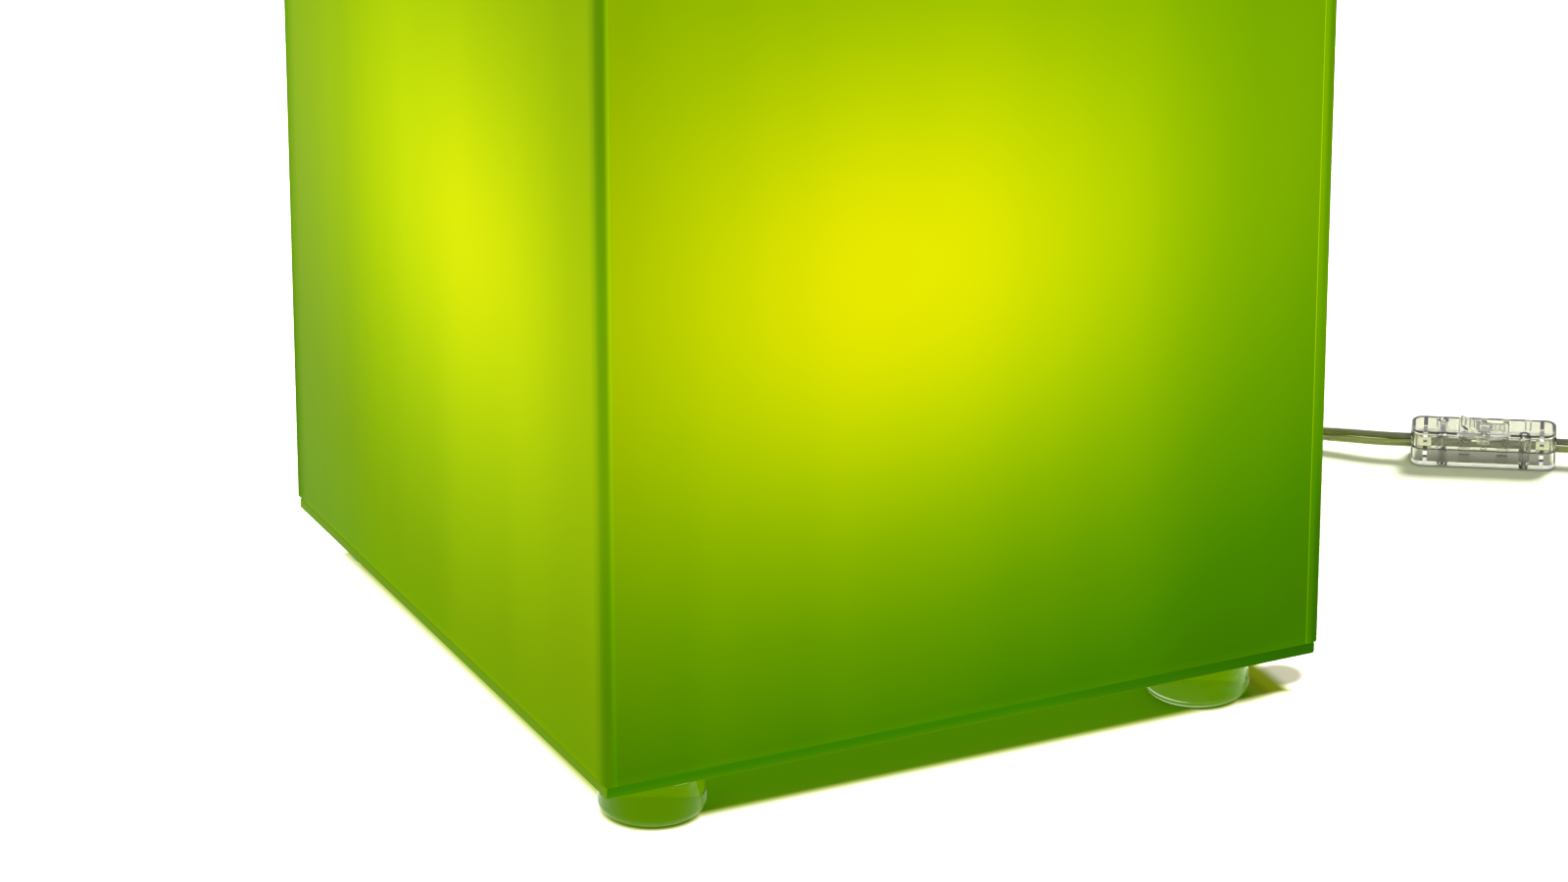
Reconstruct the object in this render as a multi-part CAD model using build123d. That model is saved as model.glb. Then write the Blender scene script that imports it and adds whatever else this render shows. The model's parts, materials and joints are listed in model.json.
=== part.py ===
from build123d import *

import math
import os

# Lit box lamp: a lift-off bonnet of five satin green glass panes over a square
# glass plate on four clear feet, with a screw-in LED bulb inside and a clear
# cord with a rocker switch.  Millimetres.  Origin: centre of the footprint on
# the resting surface.  +Z up, -Y front, +X right.

# ---- driving dimensions: glass box --------------------------------------
BOX_W = 250.0  # outside width and depth of the bonnet
BONNET_H = 273.0  # height of the bonnet, top pane included
PANE_T = 4.0  # thickness of the five bonnet panes
ARRIS = 0.6  # ground arris on every pane edge
PLATE_T = 4.0  # thickness of the glass base plate
PLATE_INSET = 0.5  # base plate stands back from the pane faces by this
PLATE_HOLE_CLEAR = 0.3  # radial clearance of the threaded tube in the plate

# ---- feet and corner angles ---------------------------------------------
FOOT_H = 15.0  # height of a clear foot
FOOT_R = 17.0  # widest radius of a foot
FOOT_WIDEST_Z = 4.2  # height of that widest radius
FOOT_SOLE_R = 13.4  # radius of the flat sole
FOOT_TOP_R = 14.4  # radius of the bonded top
FOOT_SIDE_IN = 28.0  # foot centre, in from the side faces
FOOT_FRONT_IN = 20.0  # foot centre, in from the front and rear faces
# the feet are bonded by hand: how far the front two lie off the square
FOOT_SHIFTS = {"front_left": (-4.0, -1.5), "front_right": (-4.0, 1.5)}
ANGLE_LEG = 16.0  # leg length of a corner angle
ANGLE_T = 3.0  # leg thickness of a corner angle
ANGLE_H = 12.0  # height of a corner angle
ANGLE_CLEAR = 0.5  # gap between a corner angle and the panes

# ---- threaded tube, cord cup, stem --------------------------------------
TUBE_R = 5.0  # threaded tube, outside
TUBE_BORE_R = 3.5  # threaded tube, bore
TUBE_BELOW = 6.0  # threaded tube below the plate
TUBE_INTO_HOLDER = 7.0  # threaded tube above the holder's underside
CUP_R = 22.0  # cord cup under the plate, outside radius
CUP_H = 12.0  # cord cup height
CUP_WALL = 1.8  # cord cup wall
LID_T = 1.6  # lid pressed into the cup's mouth
LID_CLEAR = 0.1  # radial clearance of the lid
NUT_T = 3.0  # lock nut thickness
NUT_FLATS = 14.0  # lock nut across flats
WASHER_T = 1.0  # washer thickness
WASHER_R = 9.0  # washer radius
SEAT_R = 21.0  # turned seat under the stem
SEAT_H = 4.0  # height of that seat
STEM_R = 8.0  # stem, outside
STEM_WALL = 1.2  # stem wall
STEM_H = 49.0  # stem length
THREAD_CLEAR = 0.05  # radial clearance between the tube and what slips over it

# ---- lampholder and bulb -------------------------------------------------
HOLDER_R = 20.0  # lampholder, outside
HOLDER_WALL = 2.0  # lampholder shell
HOLDER_H = 48.0  # lampholder height
HOLDER_DOME_H = 11.0  # height of its domed lower end
HOLDER_SPLIT = 22.0  # height at which the skirt laps over the cup
HOLDER_LAP = 5.0  # height of that lap
HOLDER_MOUTH_R = 15.6  # radius of the skirt's mouth
CORE_R = 17.6  # radius of the insulating core
CORE_T = 8.0  # thickness of the insulating core
PASSAGE_Y = 6.5  # wire passages through the core, beside the axis
TERMINAL_Y = 12.6  # terminal screws, beside the axis
SHELL_WALL = 0.5  # wall of the threaded socket shell
BULB_CAP_R = 13.0  # crest radius of the bulb's rolled thread
THREAD_DEPTH = 0.85  # depth of the rolled thread
THREAD_PITCH = 3.6  # pitch of the rolled thread
THREAD_TURNS = 5  # ridges on the bulb cap
THREAD_END = 3.0  # end of the thread below the holder's mouth
SOCKET_CLEAR = 0.25  # radial clearance of the cap in the socket shell
CAP_WALL = 0.6  # wall of the bulb's screw cap
CAP_LEN = 25.0  # bulb cap and contact, below the collar
COLLAR_H = 34.0  # height of the bulb's collar
GLOBE_R = 30.0  # opal globe radius
GLOBE_LAP = 2.0  # how far the globe bulges over its collar
COLLAR_TOP_R = GLOBE_R - GLOBE_LAP
GLOBE_WALL = 1.2  # opal globe wall
GLOBE_SEAT_CLEAR = 0.25  # radial clearance of the globe's skirt in the collar
BOARD_IN = 6.0  # LED board's edge, in from the collar
BOARD_R = COLLAR_TOP_R - BOARD_IN
BOARD_T = 1.4  # LED board thickness
LED_COUNT = 12  # LED chips on the board
TIP_R = 4.8  # radius of the bulb's tip contact
TIP_T = 1.2  # thickness of the tip contact
CONTACT_T = 0.6  # leaf thickness of the centre contact
CONTACT_RISE = 1.5  # how far the centre contact springs up
CONTACT_GAP = 0.2  # gap between the bulb's tip and the centre contact

# ---- cord ----------------------------------------------------------------
CORD_D = 5.0  # clear round two-core cord
CORE_WIRE_R = 1.0  # one insulated core
CORD_AXIS_BELOW = 6.1  # cord axis below the plate, at the cup
SLEEVE_LEN = 26.0  # tapered strain relief outside the cup
SLEEVE_ROOT_R = 4.5  # strain relief radius at the cup
SLEEVE_TIP_R = 3.2  # strain relief radius at its tip
SLEEVE_CLEAR = 0.05  # radial clearance of the cord in the strain relief
FLANGE_R = 3.95  # strain relief flange inside the cup
FLANGE_T = 2.0  # thickness of that flange

# ---- rocker switch on the cord -------------------------------------------
SWITCH_L = 50.0  # length of the switch housing
SWITCH_W = 16.0  # width
SWITCH_H = 12.6  # height of the closed housing
SWITCH_WALL = 1.5  # shell wall
SWITCH_CORNER_R = 4.0  # plan corner radius
SWITCH_EDGE_R = 1.2  # rounding of the outer edges
SWITCH_X = 272.5  # middle of the switch in plan
SWITCH_Y = 18.3
SWITCH_TURN = -31.5  # heading of the cord through the switch, degrees about Z
ROCKER_L = 17.0  # rocker length
ROCKER_W = 8.6  # rocker width
ROCKER_GAP = 0.3  # gap round the rocker
ROCKER_TILT = 8.0  # tilt of the rocker to either side, degrees
ROCKER_END_H = 3.1  # rocker's top at its ends, above the pivot
ROCKER_DIP_H = 1.9  # rocker's top at its middle, above the pivot
PIVOT_DROP = 2.2  # pivot below the housing's top
PIVOT_R = 0.9  # rocker trunnion radius
PIVOT_CLEAR = 0.05  # radial clearance of a trunnion
EAR_T = 1.4  # thickness of the ears that hold the trunnions
TERMINAL_SPAN = 17.4  # length over the two terminals
TERMINAL_L = 4.5  # length of a terminal block
TERMINAL_W = 3.4  # width of a terminal block
TERMINAL_Z = 4.6  # underside of the terminals
TERMINAL_H = 3.4  # height of a terminal block
LIVE_Y = 1.6  # cut core, beside the axis
NEUTRAL_Y = -1.3  # core that runs through
JACKET_IN = 7.0  # cord jacket inside the housing
CLAMP_T = 1.4  # thickness of a cord clamp rib
SCREW_X = 14.0  # housing screws, along the switch
SCREW_Y = 4.9  # and beside its axis
BOSS_R = 1.9  # screw boss radius
SCREW_R = 0.75  # screw shank radius
GRIP_RIBS = 5  # grip ribs on each long side
GRIP_PITCH = 7.6  # spacing of the grip ribs
GRIP_R = 1.1  # radius of a grip rib

# ---- coil of the length that is put away ---------------------------------
COIL_X = 352.0  # centre of the coil
COIL_Y = -62.0
COIL_Z = 3.9  # cord axis height of the lowest layer
COIL_OUT_R = 33.5  # outermost turn, to the cord's axis
COIL_PITCH = 6.6  # radial step of one full turn
COIL_LAYER = 5.5  # height of one layer
COIL_LAYERS = 4
COIL_HALF_TURNS = 3  # half turns of spiral in each layer
TIE_T = 1.0  # thickness of the tie's band
TIE_W = 7.0  # width of the tie's band
TIE_CLEAR = 0.8  # gap between the tie and the turns, sideways
TIE_LIFT = 0.2  # gap between the tie and the turns, up and down

# ---- plug -----------------------------------------------------------------
PLUG_X = 384.0  # plug's back end in plan
PLUG_Y = 12.0
PLUG_TURN = 93.0  # heading of the plug, degrees about Z
PLUG_BOOT_L = 22.0  # tapered boot
PLUG_L = 35.0  # body length
PLUG_W = 35.3  # body width
PLUG_H = 13.7  # body thickness
PIN_R = 2.0  # round pin
PIN_L = 19.0  # pin length outside the body
PIN_SPACING = 18.6  # pin centres
PIN_SLEEVE_L = 10.0  # insulated part of a pin
PIN_SLEEVE_R = 1.84  # its radius

# ---- heights that follow --------------------------------------------------
PLATE_Z = FOOT_H
PLATE_TOP = PLATE_Z + PLATE_T
BONNET_TOP = PLATE_TOP + BONNET_H
WALL_H = BONNET_H - PANE_T
STEM_Z = PLATE_TOP + SEAT_H
HOLDER_Z = STEM_Z + STEM_H
HOLDER_TOP = HOLDER_Z + HOLDER_H
CORD_R = CORD_D / 2
CORD_Z = PLATE_Z - CORD_AXIS_BELOW
CUP_Z = PLATE_Z - CUP_H
SWITCH_AXIS_Z = SWITCH_H / 2
PLUG_AXIS_Z = PLUG_H / 2
COIL_IN_R = COIL_OUT_R - COIL_HALF_TURNS * COIL_PITCH / 2
COIL_TOP_Z = COIL_Z + (COIL_LAYERS - 1) * COIL_LAYER
TIP_Z = HOLDER_TOP - CAP_LEN
CORE_TOP = TIP_Z - CONTACT_GAP - CONTACT_T - CONTACT_RISE
CORE_Z = CORE_TOP - CORE_T
THREAD_Z = HOLDER_TOP - THREAD_END - THREAD_TURNS * THREAD_PITCH
COLLAR_Z = HOLDER_TOP + 0.4
COLLAR_TOP = COLLAR_Z + COLLAR_H

made = {}


def save(node, *solids):
    """Keep one node; several solids become a group."""
    made[node] = solids[0] if len(solids) == 1 else Compound(children=list(solids))


def ring(outer, inner, z0, z1):
    """Upright tube from z0 to z1."""
    tube = Cylinder(outer, z1 - z0) - Cylinder(inner, z1 - z0)
    return Pos(0, 0, (z0 + z1) / 2) * tube


def disc(radius, z0, z1):
    """Upright disc from z0 to z1."""
    return Pos(0, 0, (z0 + z1) / 2) * Cylinder(radius, z1 - z0)


def block(x0, x1, y0, y1, z0, z1):
    """Box between two corners."""
    return Pos((x0 + x1) / 2, (y0 + y1) / 2, (z0 + z1) / 2) * Box(x1 - x0, y1 - y0, z1 - z0)


def turned(*points):
    """Solid of revolution about Z of a closed outline of (radius, height) points."""
    outline = Polyline(*[(r, 0, z) for r, z in points], close=True)
    return revolve(make_face(outline), Axis.Z)


def lying_rod(radius, x0, x1, y, z):
    """Round rod along X."""
    return Pos((x0 + x1) / 2, y, z) * Rot(0, 90, 0) * Cylinder(radius, x1 - x0)


# ---- glass ----------------------------------------------------------------
def pane(x0, x1, y0, y1, z0, z1):
    """Flat pane with its ground arris."""
    glass = block(x0, x1, y0, y1, z0, z1)
    return chamfer(glass.edges(), ARRIS)


def glass_box():
    """Four walls bonded edge to face, and the top laid over them."""
    half = BOX_W / 2
    inner = half - PANE_T
    wall_top = PLATE_TOP + WALL_H
    save("pane_left", pane(-half, -inner, -half, half, PLATE_TOP, wall_top))
    save("pane_right", pane(inner, half, -half, half, PLATE_TOP, wall_top))
    save("pane_front", pane(-inner, inner, -half, -inner, PLATE_TOP, wall_top))
    save("pane_rear", pane(-inner, inner, inner, half, PLATE_TOP, wall_top))
    save("pane_top", pane(-half, half, -half, half, wall_top, BONNET_TOP))


def base_plate():
    """Square glass plate with the hole for the threaded tube."""
    half = BOX_W / 2 - PLATE_INSET
    glass = block(-half, half, -half, half, PLATE_Z, PLATE_TOP)
    glass = chamfer(glass.edges(), ARRIS)
    hole = disc(TUBE_R + PLATE_HOLE_CLEAR, PLATE_Z - 1, PLATE_TOP + 1)
    save("base_plate", glass - hole)


def corners(side_in, front_in):
    """The four places of a corner piece, with the name of each."""
    x = BOX_W / 2 - side_in
    y = BOX_W / 2 - front_in
    return (
        ("front_left", -x, -y),
        ("front_right", x, -y),
        ("rear_left", -x, y),
        ("rear_right", x, y),
    )


def foot_solid():
    """Clear domed foot: flat sole, bulged side, narrower bonded top."""
    lower = ThreePointArc(
        (FOOT_SOLE_R, 0, 0),
        (FOOT_R - (FOOT_R - FOOT_SOLE_R) * 0.24, 0, FOOT_WIDEST_Z * 0.3),
        (FOOT_R, 0, FOOT_WIDEST_Z),
    )
    upper = ThreePointArc(
        (FOOT_R, 0, FOOT_WIDEST_Z),
        ((FOOT_R + FOOT_TOP_R) / 2 + 0.55, 0, (FOOT_H + FOOT_WIDEST_Z) / 2),
        (FOOT_TOP_R, 0, FOOT_H),
    )
    rest = Polyline((FOOT_TOP_R, 0, FOOT_H), (0, 0, FOOT_H), (0, 0, 0), (FOOT_SOLE_R, 0, 0))
    outline = Wire([*lower.edges(), *upper.edges(), *rest.edges()])
    return revolve(make_face(outline), Axis.Z)


def feet():
    """Four feet bonded under the plate."""
    for name, x, y in corners(FOOT_SIDE_IN, FOOT_FRONT_IN):
        shift_x, shift_y = FOOT_SHIFTS.get(name, (0, 0))
        save(f"foot_{name}", Pos(x + shift_x, y + shift_y, 0) * foot_solid())


def corner_angles():
    """Clear angles on the plate that keep the bonnet square over it."""
    inset = PANE_T + ANGLE_CLEAR
    for name, x, y in corners(inset, inset):
        sx = math.copysign(1, x)
        sy = math.copysign(1, y)
        x_far = x - sx * ANGLE_LEG
        y_far = y - sy * ANGLE_LEG
        low_x, high_x = sorted((x, x_far))
        low_y, high_y = sorted((y, y_far))
        solid = block(low_x, high_x, low_y, high_y, PLATE_TOP, PLATE_TOP + ANGLE_H)
        inner_x, inner_far_x = sorted((x - sx * ANGLE_T, x_far - sx))
        inner_y, inner_far_y = sorted((y - sy * ANGLE_T, y_far - sy))
        cut = block(inner_x, inner_far_x, inner_y, inner_far_y, PLATE_TOP - 1, PLATE_TOP + ANGLE_H + 1)
        angle = solid - cut
        save(f"corner_angle_{name}", chamfer(angle.edges().filter_by(Axis.Z), ARRIS))


# ---- what carries the bulb ------------------------------------------------
def hex_nut(z0):
    """Lock nut on the threaded tube, chamfered on both faces."""
    corner_r = NUT_FLATS / 2 / math.cos(math.pi / 6)
    nut = Pos(0, 0, z0) * extrude(RegularPolygon(corner_r, 6), NUT_T)
    slope = 0.6
    cone = turned(
        (0, z0),
        (NUT_FLATS / 2, z0),
        (corner_r, z0 + slope),
        (corner_r, z0 + NUT_T - slope),
        (NUT_FLATS / 2, z0 + NUT_T),
        (0, z0 + NUT_T),
    )
    return (nut & cone) - disc(TUBE_R + THREAD_CLEAR, z0 - 1, z0 + NUT_T + 1)


def cord_cup():
    """Shallow cup under the plate, where the cord comes in and turns up."""
    shell = disc(CUP_R, CUP_Z, PLATE_Z)
    rim = shell.edges().filter_by(GeomType.CIRCLE).sort_by(Axis.Z)[0]
    shell = fillet(rim, 0.8)
    hollow = disc(CUP_R - CUP_WALL, CUP_Z - 1, PLATE_Z - CUP_WALL)
    tube_hole = disc(TUBE_R + THREAD_CLEAR, CUP_Z, PLATE_Z + 1)
    outlet = lying_rod(SLEEVE_TIP_R + 0.4, CUP_R - 2 * CUP_WALL, CUP_R + 1, 0, CORD_Z)
    ledge = ring(CUP_R - CUP_WALL / 2, CUP_R - 2 * CUP_WALL, CUP_Z + LID_T, CUP_Z + LID_T + 0.5)
    ledge -= block(CUP_R - 3 * CUP_WALL, CUP_R, -FLANGE_R - 0.5, FLANGE_R + 0.5, CUP_Z, PLATE_Z)
    save("cord_cup", shell - hollow + ledge - tube_hole - outlet)
    lid = disc(CUP_R - CUP_WALL - LID_CLEAR, CUP_Z + 0.2, CUP_Z + LID_T)
    vents = [Pos(9 * math.cos(a), 9 * math.sin(a), CUP_Z) * Cylinder(1.5, 2 * LID_T + 1)
             for a in (math.radians(45 + 90 * i) for i in range(4))]
    save("cup_lid", lid - vents)
    nut_z = PLATE_Z - CUP_WALL - WASHER_T - NUT_T
    save("cup_nut", hex_nut(nut_z))
    washer_z = PLATE_Z - CUP_WALL - WASHER_T
    save("cup_washer", ring(WASHER_R, TUBE_R + THREAD_CLEAR, washer_z, washer_z + WASHER_T))


def threaded_tube():
    """Hollow threaded tube that ties cup, plate, stem and lampholder together."""
    low = PLATE_Z - TUBE_BELOW
    high = HOLDER_Z + TUBE_INTO_HOLDER
    tube = ring(TUBE_R, TUBE_BORE_R, low, high)
    ends = tube.edges().filter_by(GeomType.CIRCLE).filter_by(lambda e: e.radius > TUBE_BORE_R + 0.5)
    save("threaded_tube", chamfer(ends, 0.5))


def stem():
    """Turned seat and plain sleeve between the plate and the lampholder."""
    bore = TUBE_R + THREAD_CLEAR
    seat = turned(
        (bore, PLATE_TOP),
        (SEAT_R, PLATE_TOP),
        (SEAT_R, PLATE_TOP + 1.2),
        (SEAT_R - 1.5, PLATE_TOP + 2.2),
        (STEM_R + 2.5, PLATE_TOP + SEAT_H - 0.8),
        (STEM_R + 1.2, STEM_Z),
        (bore, STEM_Z),
    )
    save("stem_seat", seat)
    save("stem_sleeve", ring(STEM_R, STEM_R - STEM_WALL, STEM_Z, HOLDER_Z))


def holder_cup():
    """Domed lower half of the lampholder, with a ledge that the core sits on."""
    bore = TUBE_R + THREAD_CLEAR
    floor = HOLDER_Z + 3.0
    split = HOLDER_Z + HOLDER_SPLIT
    inner_r = HOLDER_R - HOLDER_WALL
    lap_r = HOLDER_R - HOLDER_WALL / 2
    cup = turned(
        (bore, HOLDER_Z),
        (STEM_R + 1.5, HOLDER_Z),
        (HOLDER_R - 5, HOLDER_Z + 3.0),
        (HOLDER_R - 1.2, HOLDER_Z + HOLDER_DOME_H - 4),
        (HOLDER_R, HOLDER_Z + HOLDER_DOME_H),
        (HOLDER_R, split),
        (lap_r, split),
        (lap_r, split + HOLDER_LAP),
        (inner_r, split + HOLDER_LAP),
        (inner_r, CORE_Z),
        (inner_r - 2.0, CORE_Z),
        (inner_r - 3.0, HOLDER_Z + 6.0),
        (inner_r - 6.5, floor),
        (bore, floor),
    )
    save("holder_cup", cup)
    save("holder_nut", hex_nut(floor))


def holder_skirt():
    """Upper shell of the lampholder, ribbed for grip."""
    split = HOLDER_Z + HOLDER_SPLIT
    lap_r = HOLDER_R - HOLDER_WALL / 2 + THREAD_CLEAR
    inner_r = HOLDER_R - HOLDER_WALL
    skirt = turned(
        (HOLDER_R, split),
        (HOLDER_R, HOLDER_TOP - 3),
        (HOLDER_R - 1, HOLDER_TOP - 1),
        (HOLDER_R - 3, HOLDER_TOP),
        (HOLDER_MOUTH_R, HOLDER_TOP),
        (HOLDER_MOUTH_R, HOLDER_TOP - 2),
        (inner_r, HOLDER_TOP - 3.5),
        (inner_r, split + HOLDER_LAP + 0.2),
        (lap_r, split + HOLDER_LAP + 0.2),
        (lap_r, split),
    )
    rib_z0 = split + 3
    rib_z1 = HOLDER_TOP - 5
    rib = Pos(HOLDER_R, 0, (rib_z0 + rib_z1) / 2) * Cylinder(0.7, rib_z1 - rib_z0)
    save("holder_skirt", skirt + [Rot(0, 0, 15 * i) * rib for i in range(24)])


def holder_core():
    """Insulating core with wire passages, terminal pockets and contact slot."""
    core = disc(CORE_R, CORE_Z, CORE_TOP)
    passage_r = CORE_WIRE_R + 0.5
    for side in (-1, 1):
        core -= Pos(0, side * PASSAGE_Y, (CORE_Z + CORE_TOP) / 2) * Cylinder(passage_r, CORE_T + 2)
        pocket = block(-4.0, 4.0, side * TERMINAL_Y - 2.6, side * TERMINAL_Y + 2.6, CORE_TOP - 4.5, CORE_TOP + 1)
        core -= pocket
    save("holder_core", core)
    screws = []
    for side in (-1, 1):
        shank = Pos(0, side * TERMINAL_Y, CORE_TOP - 2.9) * Cylinder(1.25, 3.2)
        head = Pos(0, side * TERMINAL_Y, CORE_TOP - 0.7) * Cylinder(2.3, 1.2)
        slot = Pos(0, side * TERMINAL_Y, CORE_TOP - 0.2) * Box(5.2, 0.6, 0.9)
        screws.append(shank + head - slot)
    save("terminal_screws", *screws)


def rolled_thread(radius, z0):
    """Ridges of a rolled thread seen from the side, lowest first."""
    root = radius - THREAD_DEPTH
    shoulder = radius - THREAD_DEPTH * 0.25
    points = []
    for i in range(THREAD_TURNS):
        base = z0 + i * THREAD_PITCH
        points.append((root, base))
        points.append((shoulder, base + THREAD_PITCH * 0.28))
        points.append((radius, base + THREAD_PITCH * 0.5))
        points.append((shoulder, base + THREAD_PITCH * 0.72))
    points.append((root, z0 + THREAD_TURNS * THREAD_PITCH))
    return points


def shifted(points, by):
    """Outline moved sideways by a wall's thickness."""
    return [(r + by, z) for r, z in points]


def socket_contacts():
    """Threaded shell on the core, and the centre contact that springs up."""
    inside = rolled_thread(BULB_CAP_R + SOCKET_CLEAR, THREAD_Z)
    root = inside[0][0]
    top = HOLDER_TOP - 2.4
    inside.append((root, top))
    shell = turned(
        (TIP_R + 2.4, CORE_TOP),
        (root + SHELL_WALL, CORE_TOP),
        *shifted(inside, SHELL_WALL),
        *reversed(inside),
        (root, CORE_TOP + SHELL_WALL),
        (TIP_R + 2.4, CORE_TOP + SHELL_WALL),
    )
    save("socket_shell", shell)
    leaf_w = 5.0
    rise = CONTACT_RISE
    path = [
        (-5.6, 0, CORE_TOP),
        (-2.6, 0, CORE_TOP),
        (2.0, 0, CORE_TOP + rise),
        (5.0, 0, CORE_TOP + rise),
        (5.0, 0, CORE_TOP + rise + CONTACT_T),
        (1.8, 0, CORE_TOP + rise + CONTACT_T),
        (-2.8, 0, CORE_TOP + CONTACT_T),
        (-5.6, 0, CORE_TOP + CONTACT_T),
    ]
    side = make_face(Polyline(*path, close=True))
    save("centre_contact", Pos(0, leaf_w / 2, 0) * extrude(side, leaf_w, dir=(0, -1, 0)))


def bulb():
    """Screw-in LED bulb: cap, insulator, tip, collar, board and opal globe."""
    outside = rolled_thread(BULB_CAP_R, THREAD_Z)
    root = outside[0][0]
    cap_bottom = TIP_Z + 2.0
    cap_top = COLLAR_Z
    outside.append((root, cap_top))
    cap = turned(
        (9.0, cap_bottom),
        (root - 0.8, cap_bottom + 0.9),
        (root, cap_bottom + 1.6),
        *outside,
        *reversed(shifted(outside, -CAP_WALL)),
        (root - CAP_WALL, cap_bottom + 1.8),
        (root - CAP_WALL - 0.8, cap_bottom + 1.5),
        (9.0, cap_bottom + 0.6),
    )
    save("bulb_cap", cap)
    insulator = turned(
        (0, TIP_Z + TIP_T),
        (TIP_R + 0.6, TIP_Z + TIP_T),
        (8.6, cap_bottom - 0.3),
        (9.0, cap_bottom),
        (9.0, cap_bottom + 0.6),
        (0, cap_bottom + 0.6),
    )
    save("bulb_insulator", insulator)
    tip = disc(TIP_R, TIP_Z, TIP_Z + TIP_T)
    save("bulb_tip", fillet(tip.edges().sort_by(Axis.Z)[0], 0.8))

    neck_r = root - CAP_WALL - THREAD_CLEAR
    wall = 1.8
    board_z = COLLAR_TOP - 3.0
    lip_r = COLLAR_TOP_R - wall
    collar = turned(
        (neck_r - wall, COLLAR_Z - 8),
        (neck_r, COLLAR_Z - 8),
        (neck_r, COLLAR_Z),
        (root + 1.6, COLLAR_Z),
        (root + 2.4, COLLAR_Z + 2.5),
        (root + 4.6, COLLAR_Z + 9),
        (root + 9.2, COLLAR_Z + 18),
        (COLLAR_TOP_R - 1.2, COLLAR_Z + 28),
        (COLLAR_TOP_R, COLLAR_TOP),
        (lip_r, COLLAR_TOP),
        (lip_r, board_z),
        (BOARD_R - 2, board_z),
        (BOARD_R - 2, board_z - 2),
        (lip_r - 3.4, board_z - 6),
        (root + 9.2 - wall, COLLAR_Z + 17),
        (root + 4.6 - wall, COLLAR_Z + 9.5),
        (neck_r - wall, COLLAR_Z + 1),
    )
    save("bulb_collar", collar)
    board = disc(BOARD_R, board_z, board_z + BOARD_T)
    save("bulb_board", board - disc(2.0, board_z - 1, board_z + BOARD_T + 1))
    chips = []
    for i in range(LED_COUNT):
        chip = Pos(BOARD_R - 6, 0, board_z + BOARD_T + 0.4) * Box(2.8, 3.5, 0.8)
        chips.append(Rot(0, 0, 360 / LED_COUNT * i) * chip)
    save("bulb_leds", *chips)

    seat_r = lip_r - GLOBE_SEAT_CLEAR
    centre_z = COLLAR_TOP + math.sqrt(GLOBE_R**2 - (COLLAR_TOP_R - 0.3) ** 2)
    rim_r = COLLAR_TOP_R - 0.3
    inner_r = GLOBE_R - GLOBE_WALL
    inner_rim_z = centre_z - math.sqrt(inner_r**2 - (seat_r - GLOBE_WALL) ** 2)
    outer = ThreePointArc((rim_r, 0, COLLAR_TOP), (GLOBE_R, 0, centre_z), (0, 0, centre_z + GLOBE_R))
    inner = ThreePointArc(
        (seat_r - GLOBE_WALL, 0, inner_rim_z), (inner_r, 0, centre_z), (0, 0, centre_z + inner_r)
    )
    skirt_z = COLLAR_TOP - 1.6
    foot = Polyline(
        (rim_r, 0, COLLAR_TOP),
        (seat_r, 0, COLLAR_TOP),
        (seat_r, 0, skirt_z),
        (seat_r - GLOBE_WALL, 0, skirt_z),
        (seat_r - GLOBE_WALL, 0, inner_rim_z),
    )
    apex = Line((0, 0, centre_z + inner_r), (0, 0, centre_z + GLOBE_R))
    outline = Wire([*outer.edges(), *inner.edges(), *foot.edges(), *apex.edges()])
    save("bulb_globe", revolve(make_face(outline), Axis.Z))


# ---- cord: its route is chosen by hand ------------------------------------
def along_switch(distance, z):
    """Point on the switch's axis, measured from its middle."""
    a = math.radians(SWITCH_TURN)
    return (SWITCH_X + distance * math.cos(a), SWITCH_Y + distance * math.sin(a), z)


def along_plug(distance, z):
    """Point on the plug's axis, measured from its back end."""
    a = math.radians(PLUG_TURN)
    return (PLUG_X + distance * math.cos(a), PLUG_Y + distance * math.sin(a), z)


CORD_EXIT_X = CUP_R + SLEEVE_LEN
COIL_START = (COIL_X - COIL_OUT_R, COIL_Y + CORD_D, COIL_Z)
COIL_END = (COIL_X + COIL_OUT_R, COIL_Y + CORD_D, COIL_TOP_Z)

# from the strain relief, out under the right edge of the plate, to the switch
ROUTE_TO_SWITCH = [
    (CORD_EXIT_X, 0, CORD_Z),
    (61, 0, CORD_Z),
    (77, 4, 5.2),
    (94, 13, 2.7),
    (111, 27, 2.6),
    (130, 45, 2.6),
    (150, 62, 2.6),
    (172, 74, 2.6),
    (195, 74.5, 3.2),
    (215, 64, 4.4),
    (231.5, 48.5, 5.4),
    along_switch(-SWITCH_L / 2 - 10, SWITCH_AXIS_Z),
    along_switch(-SWITCH_L / 2, SWITCH_AXIS_Z),
]
# from the switch, past the edge of the picture, to the coil
ROUTE_TO_COIL = [
    along_switch(SWITCH_L / 2, SWITCH_AXIS_Z),
    along_switch(SWITCH_L / 2 + 13, SWITCH_AXIS_Z),
    (318, -14, 5.0),
    (323.5, -29.5, COIL_Z),
    (318.5, -45, COIL_Z),
    COIL_START,
]
# from the top of the coil down to the plug
ROUTE_TO_PLUG = [
    COIL_END,
    (385.5, -44, COIL_TOP_Z),
    (386, -29.5, 17.0),
    (385.5, -15.4, 10.2),
    along_plug(-13, PLUG_AXIS_Z),
    along_plug(0, PLUG_AXIS_Z),
]


def corner_radii(points):
    """Largest arc that each corner of a route leaves room for."""
    radii = []
    for a, b, c in zip(points, points[1:], points[2:]):
        into = Vector(*b) - Vector(*a)
        out = Vector(*c) - Vector(*b)
        turn = into.get_angle(out)
        shorter = min(into.length, out.length)
        radii.append(0.45 * shorter / math.tan(math.radians(turn / 2)))
    return radii


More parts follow.
